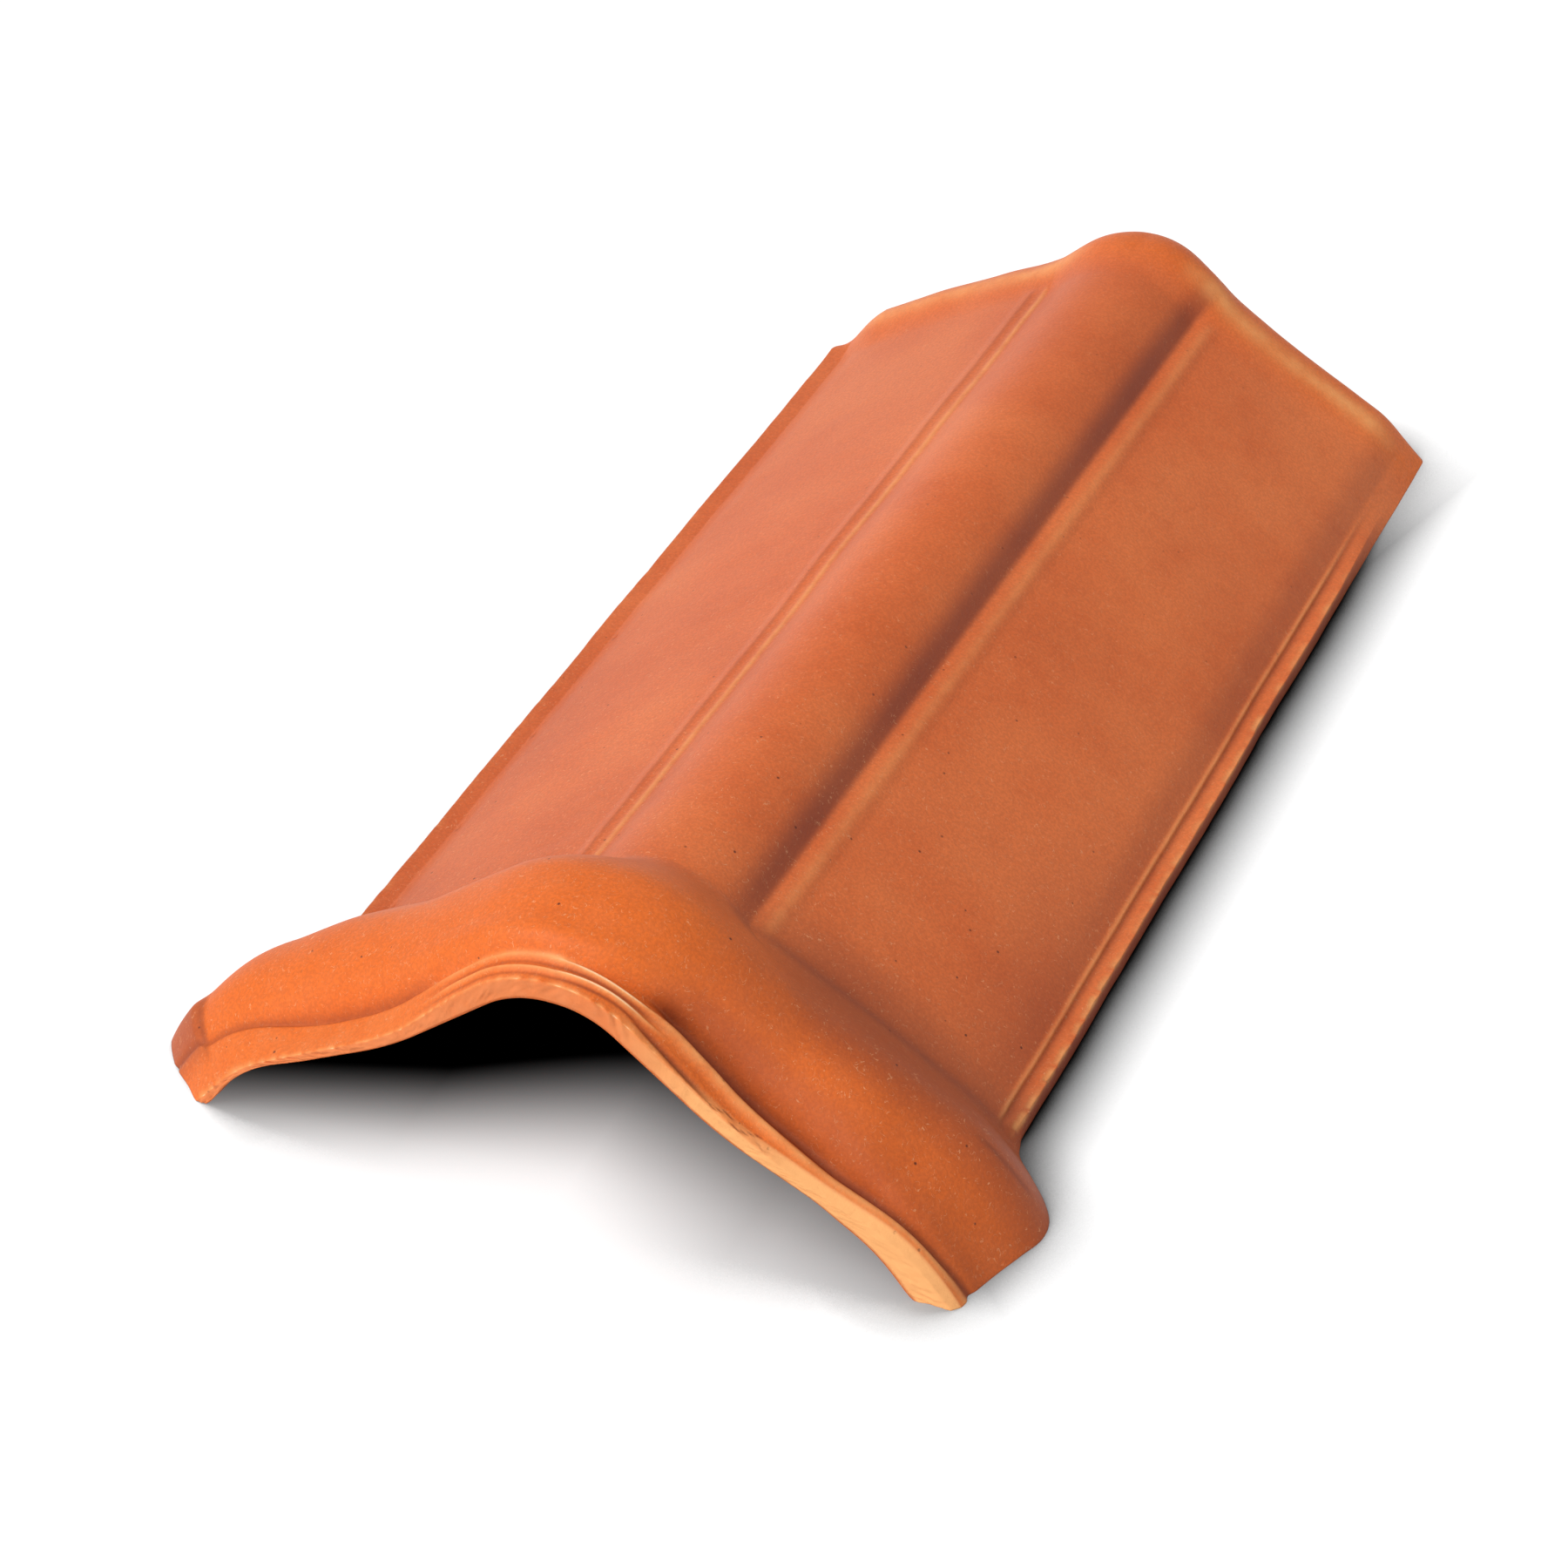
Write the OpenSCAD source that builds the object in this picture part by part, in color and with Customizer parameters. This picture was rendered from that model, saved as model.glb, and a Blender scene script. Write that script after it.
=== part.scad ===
// Collared ridge tile of fired clay, lying on its two bedding edges.
// X runs across the tile, Y from the collar to the plain end, Z up from the bedding plane.

/* [Body] */
// Length from the mouth of the collar to the plain end
tile_length = 450; // [400:1:500]
// Height of the crown where the body leaves the collar
front_height = 63.5; // [58:0.5:68]
// Height of the crown at the plain end
back_height = 61; // [56:0.5:66]
// Width of the body where it leaves the collar
front_width = 206; // [200:1:214]
// Width of the body at the plain end
back_width = 200; // [194:1:206]
// Thickness of the clay at the crown
wall = 12; // [9:0.5:14]
// Width of each bedding edge
foot_width = 14; // [11:0.5:18]

/* [Section] */
// Outer radius of the crown roll
crown_radius = 26; // [23:0.5:27]
// Distance of each valley line from the middle
valley_offset = 24.5; // [24:0.5:28]
// Drop from the crown to the valley line
valley_drop = 13.5; // [12:0.5:14.5]
// Radius that fills the valley
valley_radius = 6; // [3:0.5:12]
// Height of the shoulder line above the bedding plane
skirt_height = 11.5; // [9:0.5:14]
// Distance of the shoulder line in from the bedding edge
skirt_inset = 13; // [11:0.5:15]
// Radius that rounds the shoulder
shoulder_radius = 40; // [20:1:50]
// Bow of each wing between the valley and the shoulder
wing_bow = 1.5; // [0:0.1:2.5]

/* [Terrace and rim] */
// Width of the flat strip beside the valley
terrace_width = 5; // [3.5:0.5:8]
// Rise of the strip's edge over the wing
terrace_height = 0.8; // [0.4:0.1:1.6]
// Width over which the strip's edge falls to the wing
terrace_fall = 5; // [3:0.5:7]
// Height of the trimmed rim along each bedding edge
rim_height = 5; // [3:0.5:6]
// Length over which the rim fades towards the plain end
rim_fade = 80; // [50:5:110]

/* [Collar] */
// Length of the collar from its mouth to the body
collar_length = 71; // [62:1:80]
// Distance of the collar's crest from the mouth
crest_place = 34; // [28:1:40]
// Distance of the collar's valley lines from the middle, before its rise
collar_valley_offset = 45; // [40:0.5:49]
// Drop from the crown to the collar's valley lines, before its rise
collar_valley_drop = 29.5; // [26:0.5:32]
// Radius that fills the collar's valleys
collar_valley_radius = 90; // [50:1:110]
// Rise of the crest over the crown
crest_crown = 19.5; // [16:0.5:22]
// Rise of the crest over the middle of each wing
crest_wing = 23.5; // [20:0.5:26]
// Rise of the crest beside each bedding edge
crest_foot = 21.5; // [18:0.5:24]
// Rise of the lip over the crown
lip_crown = 8; // [6:0.5:11]
// Rise of the lip over the middle of each wing
lip_wing = 8.5; // [7:0.5:12]
// Rise of the lip beside each bedding edge
lip_foot = 6.5; // [5:0.5:9]
// Thickness of the lip at the crown
lip_wall = 6; // [5:0.5:8]
// Thickness of the lip at the bedding edges
lip_foot_wall = 4.5; // [4:0.5:7]
// Length of the plain lip at the crown
lip_length = 7; // [4:0.5:9]
// Length of the plain lip over the middle of each wing
lip_wing_length = 12; // [8:0.5:15]
// Length of the plain lip beside each bedding edge
lip_foot_length = 5; // [3:0.5:8]

/* [End bead] */
// Length of the raised bead at the plain end
bead_length = 29; // [22:1:36]
// Rise of the bead over the wings
bead_height = 3.5; // [1:0.1:5]
// Radius of the two corners at the plain end, seen from above
corner_radius = 4; // [2:0.5:8]

/* [Hidden] */
crown_steps = 8;
flank_steps = 3;
valley_steps = 4;
wing_steps = 5;
shoulder_steps = 3;
rise_steps = 12;
fall_steps = 9;
body_steps = 8;
bead_steps = 8;
// Share of the bead's rise at the crown and in the valleys
bead_crown = 0.65;
bead_valley = 1.85;
// How straight the collar's outline runs beside the feet
foot_line = 0.5;

function lerp(a, b, t) = a + (b - a) * t;
function ease(t) = let (u = min(1, max(0, t))) u * u * (3 - 2 * u);

// The parabola with given values at the crown, the middle of the wing and the foot
function spread(a, b, c, q) = let (u = 2 * q - 1) b + (c - a) / 2 * u + ((a + c) / 2 - b) * u * u;

// Unit vectors along and out of the section where it falls at angle a
function along(a) = [cos(a), -sin(a)];
function outward(a) = [sin(a), cos(a)];

// Share of a path's length that lies before each of its points
function run_lengths(p) = [for (i = 0, s = 0; i < len(p);
    i = i + 1, s = i < len(p) ? s + norm(p[i] - p[i - 1]) : s) s];
function shares(p) = let (s = run_lengths(p), total = s[len(s) - 1]) [for (v = s) v / total];

// The flank is the line from the valley that just touches the crown circle
function flank_angle(v, c) = 90 - atan2(v[1] - c, v[0]) - acos(crown_radius / norm([v[0], v[1] - c]));

// Length of the flank from the crown circle to the valley
function flank_length(v, c) = sqrt(pow(v[0], 2) + pow(v[1] - c, 2) - pow(crown_radius, 2));

// Share of the body's length behind the collar, along which height and width taper
function taper(y) = max(0, y - collar_length) / (tile_length - collar_length);
function crown_top(y) = lerp(front_height, back_height, taper(y));

// Half width of the body's section: tapered, with rounded corners at the plain end
function half_width(y) =
    lerp(front_width, back_width, taper(y)) / 2
    - corner_radius * (1 - sqrt(1 - pow(max(0, 1 - (tile_length - y) / corner_radius), 2)));

// The collar's share of the section: whole from the mouth to the crest, then falling to the body
function collar_share(y) = 1 - ease((y - crest_place) / (collar_length - crest_place));

// Place and radius of the valley, which lies further out and lower in the collar and is wider there
function valley(y) = [
    lerp(valley_offset, collar_valley_offset, collar_share(y)),
    crown_top(y) - lerp(valley_drop, collar_valley_drop, collar_share(y))
];
function valley_fill(y) = lerp(valley_radius, collar_valley_radius, collar_share(y));

// Rise of the collar's outer face: plain lip, quarter ellipse to the crest, soft fall to the body.
// Beside the feet the ellipse leans towards a straight line.
function collar_rise(y, q) =
    let (
        lip = spread(lip_crown, lip_wing, lip_foot, q),
        top = spread(crest_crown, crest_wing, crest_foot, q),
        start = spread(lip_length, lip_wing_length, lip_foot_length, q),
        t = min(1, (crest_place - y) / (crest_place - start)),
        nose = lerp(sqrt(1 - t * t), 1 - t, foot_line * ease((q - 0.7) / 0.3))
    )
    y <= crest_place ? lip + (top - lip) * nose : top * collar_share(y);

// Rise of the hollow under the collar, which leaves the lip thinner than the body
function hollow_rise(y, q) =
    collar_rise(y, q) + (wall - lerp(lip_wall, lip_foot_wall, q)) * (1 - ease(y / crest_place));

// Rise of the end bead, rounded over at the plain end
function bead_rise(y) =
    let (u = tile_length - y, top = bead_length * 0.35)
    u >= bead_length ? 0
    : u >= top ? bead_height * ease((bead_length - u) / (bead_length - top))
        : bead_height * (1 - 0.8 * pow(1 - u / top, 2));

// Shares of the terrace, the rim and the wing's bow that show between the collar and the bead
function body_share(y) =
    ease((y - collar_length + 6) / 12) * ease((tile_length - bead_length + 6 - y) / 12);
function rim_share(y) =
    ease((y - collar_length + 6) / 12) * ease((tile_length - bead_length - y) / rim_fade);
function bow_share(y) =
    ease((y - collar_length + 24) / 40) * ease((tile_length - y) / bead_length);

// Rise of the bowed wing at a share of its run
function bow(t) = wing_bow * 4 * t * (1 - t);

// Stations of the outer half section: place, fall angle, push angle, terrace, rim, share of the bead, bow
function outer_half(y) =
    let (
        hw = half_width(y),
        c = crown_top(y) - crown_radius,
        v = valley(y),
        s = [hw - skirt_inset, skirt_height],
        flank = flank_angle(v, c),
        wing = atan2(v[1] - s[1], s[0] - v[0]),
        skirt = atan2(skirt_height, skirt_inset),
        bend = tan((flank - wing) / 2),
        fill = min(valley_fill(y), 0.9 * flank_length(v, c) / bend),
        tv = fill * bend,
        ts = shoulder_radius * tan((skirt - wing) / 2),
        p0 = [0, c] + crown_radius * outward(flank),
        p1 = v - tv * along(flank),
        p2 = v + tv * along(wing),
        p3 = s - ts * along(wing),
        run = norm(p3 - p2),
        whole_run = run + 2 * ts,
        reach = norm(s - [hw, 0]) + ts,
        tail = terrace_width + terrace_fall,
        lift = rim_height * cos(skirt)
    )
    concat(
        [for (i = [0:crown_steps])
            let (a = flank * i / crown_steps, q = 0.6 * i / crown_steps)
            [[0, c] + crown_radius * outward(a), a, a, 0, 0, lerp(bead_crown, bead_valley, q), 0]],
        [for (i = [1:flank_steps - 1])
            let (q = lerp(0.6, 1, i / flank_steps))
            [lerp(p0, p1, i / flank_steps), flank, flank, 0, 0, lerp(bead_crown, bead_valley, q), 0]],
        [for (i = [0:valley_steps])
            let (a = lerp(flank, wing, i / valley_steps))
            [p1 + fill * (outward(flank) - outward(a)), a, a, 0, 0, bead_valley, 0]],
        [for (k = [[0.5, 0, 0.5], [0.85, 0, 0.93], [1, 0, 1], [1, 0.5, 0.5], [1, 1, 0]])
            let (d = terrace_width * k[0] + terrace_fall * k[1])
            [p2 + d * along(wing), wing, wing, terrace_height * k[2], 0,
                lerp(bead_valley, 1.2, k[0] / 2 + k[1] / 2), bow(d / whole_run)]],
        [for (i = [1:wing_steps - 1])
            let (d = lerp(tail, run, i / wing_steps))
            [p2 + d * along(wing), wing, wing, 0, 0, 1, bow(d / whole_run)]],
        [for (i = [0:shoulder_steps])
            let (
                a = lerp(wing, skirt, i / shoulder_steps),
                d = 2 * ts * i / shoulder_steps,
                q = d / reach
            )
            [p3 + shoulder_radius * (outward(a) - outward(wing)), a, lerp(wing, 90, q), 0, 0, 1 - q,
                bow((run + d) / whole_run)]],
        [for (k = [[1 / sin(skirt), 0], [sin(skirt), 1], [0, 0]])
            let (t = rim_height * k[0], q = 1 - t / reach)
            [[hw, 0] - t * along(skirt), skirt, lerp(wing, 90, q), 0, lift * k[1], 1 - q, 0]]
    );

// Stations of the inner half section, one for each outer station: place and push angle
function inner_half(y, count) =
    let (
        hw = half_width(y),
        radius = crown_radius - wall,
        c = crown_top(y) - crown_radius,
        v0 = valley(y),
        flank = flank_angle(v0, c),
        foot = [hw - foot_width, 0],
        slope = atan2(v0[1] - skirt_height, hw - skirt_inset - v0[0]),
        mid = (flank + slope) / 2,
        v = v0 - wall / cos((flank - slope) / 2) * outward(mid),
        wing = atan2(v[1], foot[0] - v[0]),
        fill = valley_fill(y) + wall,
        tv = fill * tan((flank - wing) / 2),
        p0 = [0, c] + radius * outward(flank),
        p1 = v - tv * along(flank),
        p2 = v + tv * along(wing),
        rest = count - crown_steps - flank_steps - valley_steps - 1
    )
    concat(
        [for (i = [0:crown_steps])
            let (a = flank * i / crown_steps)
            [[0, c] + radius * outward(a), a]],
        [for (i = [1:flank_steps - 1])
            [lerp(p0, p1, i / flank_steps), flank]],
        [for (i = [0:valley_steps])
            let (a = lerp(flank, wing, i / valley_steps))
            [p1 + fill * (outward(flank) - outward(a)), a]],
        [for (i = [1:rest])
            let (q = i / rest)
            [lerp(p2, foot, q), lerp(wing, 90, ease((q - 0.6) / 0.4))]]
    );

// Right half of the outer face at one place along the tile
function outer_points(y) =
    let (
        half = outer_half(y),
        q = shares([for (k = half) k[0]]),
        bead = bead_rise(y),
        show = [body_share(y), rim_share(y), bow_share(y)]
    )
    [for (i = [0:len(half) - 1])
        let (k = half[i])
        k[0] + (collar_rise(y, q[i]) + bead * k[5]) * outward(k[2])
            + (show * [k[3], k[4], k[6]]) * outward(k[1])];

// Right half of the inner face at one place along the tile
function inner_points(y, count) =
    let (half = inner_half(y, count), q = shares([for (k = half) k[0]]))
    [for (i = [0:count - 1]) half[i][0] + hollow_rise(y, q[i]) * outward(half[i][1])];

// A half section and its mirror image, from the left foot to the right foot
function whole(half) = concat(
    [for (i = [len(half) - 1:-1:1]) [-half[i][0], half[i][1]]],
    half
);

// One closed ring: the outer face from left to right, then the inner face back again
function ring(y) =
    let (outer = outer_points(y), inner = whole(inner_points(y, len(outer))), last = len(inner) - 1)
    concat(
        [for (p = whole(outer)) [p[0], y - tile_length / 2, p[1]]],
        [for (i = [last:-1:0]) [inner[i][0], y - tile_length / 2, inner[i][1]]]
    );

// Places along the tile, closest over the collar and the bead
function places() = concat(
    [0],
    [for (i = [0:rise_steps]) lerp(lip_foot_length, crest_place, i / rise_steps)],
    [for (i = [1:fall_steps]) lerp(crest_place, collar_length, i / fall_steps)],
    [collar_length + 6],
    [for (i = [1:body_steps]) lerp(collar_length + 6, tile_length - bead_length - 6, i / body_steps)],
    [for (i = [1:bead_steps])
        lerp(tile_length - bead_length, tile_length, sin(90 * i / bead_steps))]
);

// The tile: rings joined by facets and closed by a flat face at each end
module ridge_tile() {
    rings = [for (y = places()) ring(y)];
    n = len(rings[0]);
    m = len(rings);
    h = n / 2;
    sides = [for (j = [0:m - 2]) for (i = [0:n - 1])
        let (a = j * n + i, b = j * n + (i + 1) % n)
        each [[a, b, b + n], [a, b + n, a + n]]];
    ends = [for (i = [0:h - 2])
        let (a = i, b = i + 1, c = n - 2 - i, d = n - 1 - i, e = (m - 1) * n)
        each [[a, c, b], [a, d, c], [e + a, e + b, e + c], [e + a, e + c, e + d]]];
    color("#cf6a41")
        polyhedron([for (r = rings) each r], concat(sides, ends), convexity = 6);
}

ridge_tile();
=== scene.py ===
import bpy
import numpy as np
from mathutils import Matrix, Vector


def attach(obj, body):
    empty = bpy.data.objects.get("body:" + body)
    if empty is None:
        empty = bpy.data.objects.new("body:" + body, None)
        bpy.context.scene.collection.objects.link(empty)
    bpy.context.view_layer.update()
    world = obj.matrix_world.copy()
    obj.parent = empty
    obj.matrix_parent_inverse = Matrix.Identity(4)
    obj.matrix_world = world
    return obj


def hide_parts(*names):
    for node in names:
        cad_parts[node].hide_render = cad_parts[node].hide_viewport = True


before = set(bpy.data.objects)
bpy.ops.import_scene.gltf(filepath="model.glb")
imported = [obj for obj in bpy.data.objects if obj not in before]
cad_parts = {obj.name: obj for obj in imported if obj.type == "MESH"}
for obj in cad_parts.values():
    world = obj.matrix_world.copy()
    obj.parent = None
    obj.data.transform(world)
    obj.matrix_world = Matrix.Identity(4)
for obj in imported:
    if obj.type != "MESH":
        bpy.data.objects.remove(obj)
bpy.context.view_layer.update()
print("frame loaded")

# sizes in millimetres, the part's own; three numbers stand for crown, mid wing and foot, two for crown and
# foot; a start or stop is how far past the collar or short of the bead a form sets in, and over what length
tile = {
    "length": 450.0, "frontHeight": 63.5, "backHeight": 61.0, "frontWidth": 206.0, "backWidth": 200.0,
    "wall": 12.0, "footWidth": 14.0, "crownRadius": 26.0,
    "valleyOffset": 24.5, "valleyDrop": 13.5, "valleyRadius": 6.0, "flankFill": 0.9,
    "skirtHeight": 11.5, "skirtInset": 13.0, "shoulderRadius": 40.0,
    "wingBow": 1.5, "bowStart": (-24.0, 40.0), "bodyStart": (-4.0, 8.0), "bodyStop": (-7.0, 5.0),
    "terraceWidth": 5.0, "terraceHeight": 0.8, "terraceFall": 5.0, "terraceFoot": 0.15,
    "rimHeight": 5.0, "rimStop": {1: (0.0, 80.0), -1: (-22.0, 12.0)},
    "collarLength": 71.0, "crestPlace": 34.0, "backFall": 0.86,
    "collarValleyOffset": 45.0, "collarValleyDrop": 29.5, "collarValleyRadius": 90.0,
    "crest": (19.5, 23.5, 21.5), "lip": (8.0, 8.5, 6.5), "lipLength": (7.0, 12.0, 5.0), "lipWall": (6.0, 4.5),
    "footLine": 0.5, "footRamp": (0.7, 0.3), "noseFillet": 1.2,
    "beadLength": 29.0, "beadHeight": 3.5, "beadTop": 0.35, "beadDrop": 0.8, "cornerRadius": 4.0,
    "beadCrown": 0.65, "beadFlank": 0.6, "beadValley": 1.85, "beadTerrace": 1.2,
}

# how finely each stretch of the surface is drawn, in stations across a half section and rows along the tile;
# crowding is the share of the rows' places that follows a power, and the power
fineness = {
    "stations": {"crown": 26, "flank": 16, "valley": 12, "terrace": 16, "wing": 34, "shoulder": 12,
                 "skirt": 12, "shelf": 16, "face": 12},
    "rows": {"lip": 66, "collar": 50, "body": 104, "bead": 28}, "overlap": 4.0,
    "crowding": {"lip": (0.3, 2), "body": (0.55, 1.6), "hollow": (0.6, 1.6)},
    "pitRows": (-1.2, -0.6, 0.0, 0.6, 1.2), "pitClear": 1.6,
    "capRows": 6, "hollowSteps": 61, "hollowStations": 44, "hollowRows": 56,
    "hollowEnds": (0.0, 1.5, 4.0), "hollowMargin": 9.0, "seed": 7,
}


def ease(t):
    # smoothstep: three t squared less two t cubed, held between 0 and 1
    u = np.clip(t, 0, 1)
    return u * u * (3 - 2 * u)


def ramp(v, start, over):
    # 0 up to start, then easing to 1 over a length
    return ease((v - start) / over)


def lerp(a, b, t):
    # straight line from a at t = 0 to b at t = 1
    return a + (b - a) * t


def bell(d, width):
    # a smooth hump of height 1 at d = 0: e to the power of minus the square of d over width
    return np.exp(-(d / width) ** 2)


def window(v, low, high, soft):
    # 1 between low and high, easing to 0 over soft on both sides
    return ease((v - low) / soft + 0.5) * ease((high - v) / soft + 0.5)


def strongest(*shares):
    # the greatest of several shares at each point
    return np.maximum.reduce(np.broadcast_arrays(*shares))


def crowd(t, share, power):
    # places from 0 to 1 that lie closer near 0: part of t itself and a share of t to a power
    return (1 - share) * t + share * t ** power


def spread(values, q):
    # the parabola through values at q = 0, 0.5 and 1
    a, b, c = values
    u = 2 * q - 1
    return b + (c - a) / 2 * u + ((a + c) / 2 - b) * u * u


def curve(v, places, values):
    # smooth line through the given points: a cubic between neighbours, its slopes taken from the points
    # beside them
    x, f = np.array(places, float), np.array(values, float)
    slope = np.gradient(f, x)
    u = np.clip(v, x[0], x[-1])
    i = np.clip(np.searchsorted(x, u, side="right") - 1, 0, len(x) - 2)
    h = x[i + 1] - x[i]
    t = (u - x[i]) / h
    first = f[i] * (1 + 2 * t) + slope[i] * h * t
    second = f[i + 1] * (3 - 2 * t) - slope[i + 1] * h * (1 - t)
    return first * (1 - t) ** 2 + second * t * t


def waves(u, v, size, seed, count=24):
    # smooth noise about -1 to 1: a sum of cosines that run in random directions, with wavelengths near size
    rng = np.random.default_rng(fineness["seed"] * 100 + seed)
    turn = rng.uniform(0, 2 * np.pi, count)
    pace = 2 * np.pi / (size * rng.uniform(0.6, 1.7, count))
    shift = rng.uniform(0, 2 * np.pi, count)
    total = sum(np.cos(k * (np.cos(a) * u + np.sin(a) * v) + p) for a, k, p in zip(turn, pace, shift))
    return total / np.sqrt(count) / 1.2


def runAlong(x, z):
    # distance along each section from its first point, a sum of steps, and the same as a share of the section
    step = np.hypot(np.diff(x, axis=1), np.diff(z, axis=1))
    run = np.concatenate([np.zeros((len(x), 1)), np.cumsum(step, 1)], 1)
    return run, run / run[:, -1:]


def taper(y):
    # share of the body's length behind the collar
    return np.maximum(0, y - tile["collarLength"]) / (tile["length"] - tile["collarLength"])


def crownTop(y):
    # straight line from the front height to the back height
    return lerp(tile["frontHeight"], tile["backHeight"], taper(y))


def halfWidth(y):
    # straight taper, with a quarter circle at the plain end's corners
    k = np.clip(1 - (tile["length"] - y) / tile["cornerRadius"], 0, 1)
    straight = lerp(tile["frontWidth"], tile["backWidth"], taper(y)) / 2
    return straight - tile["cornerRadius"] * (1 - np.sqrt(1 - k * k))


def collarShare(y):
    # 1 from the mouth to the crest, then falling to 0 on the body
    return 1 - ramp(y, tile["crestPlace"], tile["collarLength"] - tile["crestPlace"])


def valleyFill(y):
    # radius of the valley's fillet, from the body's to the collar's by the collar's share
    return lerp(tile["valleyRadius"], tile["collarValleyRadius"], collarShare(y))


def collarRise(y, q, start=None):
    # plain lip up to start, a quarter ellipse with a small fillet up to the crest, straighter at the foot,
    # then a fall that meets the body at a slight crease
    lip = spread(tile["lip"], q)
    top = spread(tile["crest"], q)
    start = spread(tile["lipLength"], q) if start is None else start
    run = tile["crestPlace"] - start
    t = np.clip((tile["crestPlace"] - y) / run, 0, 1)
    nose = lerp(np.sqrt(1 - t * t), 1 - t, tile["footLine"] * ramp(q, *tile["footRamp"]))
    nose = nose * (1 - np.exp(-(1 - t) * run / tile["noseFillet"]))
    past = np.clip((y - tile["crestPlace"]) / (tile["collarLength"] - tile["crestPlace"]), 0, 1)
    fall = 1 - ease(tile["backFall"] * past) / ease(tile["backFall"])
    return np.where(y <= tile["crestPlace"], lip + (top - lip) * nose, top * fall)


def hollowRise(y, q):
    # the collar's rise, with more room at the mouth, where the lip is thinner than the body
    spare = tile["wall"] - lerp(*tile["lipWall"], q)
    return collarRise(y, q) + spare * (1 - ramp(y, 0, tile["crestPlace"]))


def beadRise(y):
    # smooth step up, then a parabola over to the plain end
    u = tile["length"] - y
    top = tile["beadLength"] * tile["beadTop"]
    up = ease((tile["beadLength"] - u) / (tile["beadLength"] - top))
    over = 1 - tile["beadDrop"] * (1 - u / top) ** 2
    return tile["beadHeight"] * np.where(u >= top, up, over)


def bodyShare(y):
    # 1 between the collar and the bead, where the terrace shows, easing to 0 at both
    beforeBead = tile["length"] - tile["beadLength"] - y
    return ramp(y - tile["collarLength"], *tile["bodyStart"]) * ramp(beforeBead, *tile["bodyStop"])


def bowShare(y):
    # 1 on the body, easing to 0 at the collar's back and at the plain end
    return ramp(y - tile["collarLength"], *tile["bowStart"]) * ramp(tile["length"] - y, 0, tile["beadLength"])


def rimShare(y, side):
    # the rim starts behind the collar; on the right it fades out slowly, on the left it stops at the bead
    beforeBead = tile["length"] - tile["beadLength"] - y
    return ramp(y - tile["collarLength"], *tile["bodyStart"]) * ramp(beforeBead, *tile["rimStop"][side])


def lean(y, q):
    # drying pulled the plain end out of true: the crown to the right, the edges to the left
    return taper(y) * lerp(*bodyRelief["lean"], ramp(q, *bodyRelief["leanRamp"]))


def sectionAngles(y):
    # fall angles of the flank, the wing and the skirt, the valley's place and the flank's length
    part = collarShare(y)
    valleyX = lerp(tile["valleyOffset"], tile["collarValleyOffset"], part)
    drop = lerp(tile["valleyDrop"], tile["collarValleyDrop"], part)
    down = tile["crownRadius"] - drop
    reach = np.hypot(valleyX, down)
    flank = np.pi / 2 - np.arctan2(down, valleyX) - np.arccos(tile["crownRadius"] / reach)
    valleyZ = crownTop(y) - drop
    wing = np.arctan2(valleyZ - tile["skirtHeight"], halfWidth(y) - tile["skirtInset"] - valleyX)
    skirt = np.arctan2(tile["skirtHeight"], tile["skirtInset"])
    return flank, wing, skirt, valleyX, valleyZ, np.sqrt(reach ** 2 - tile["crownRadius"] ** 2)


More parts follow.
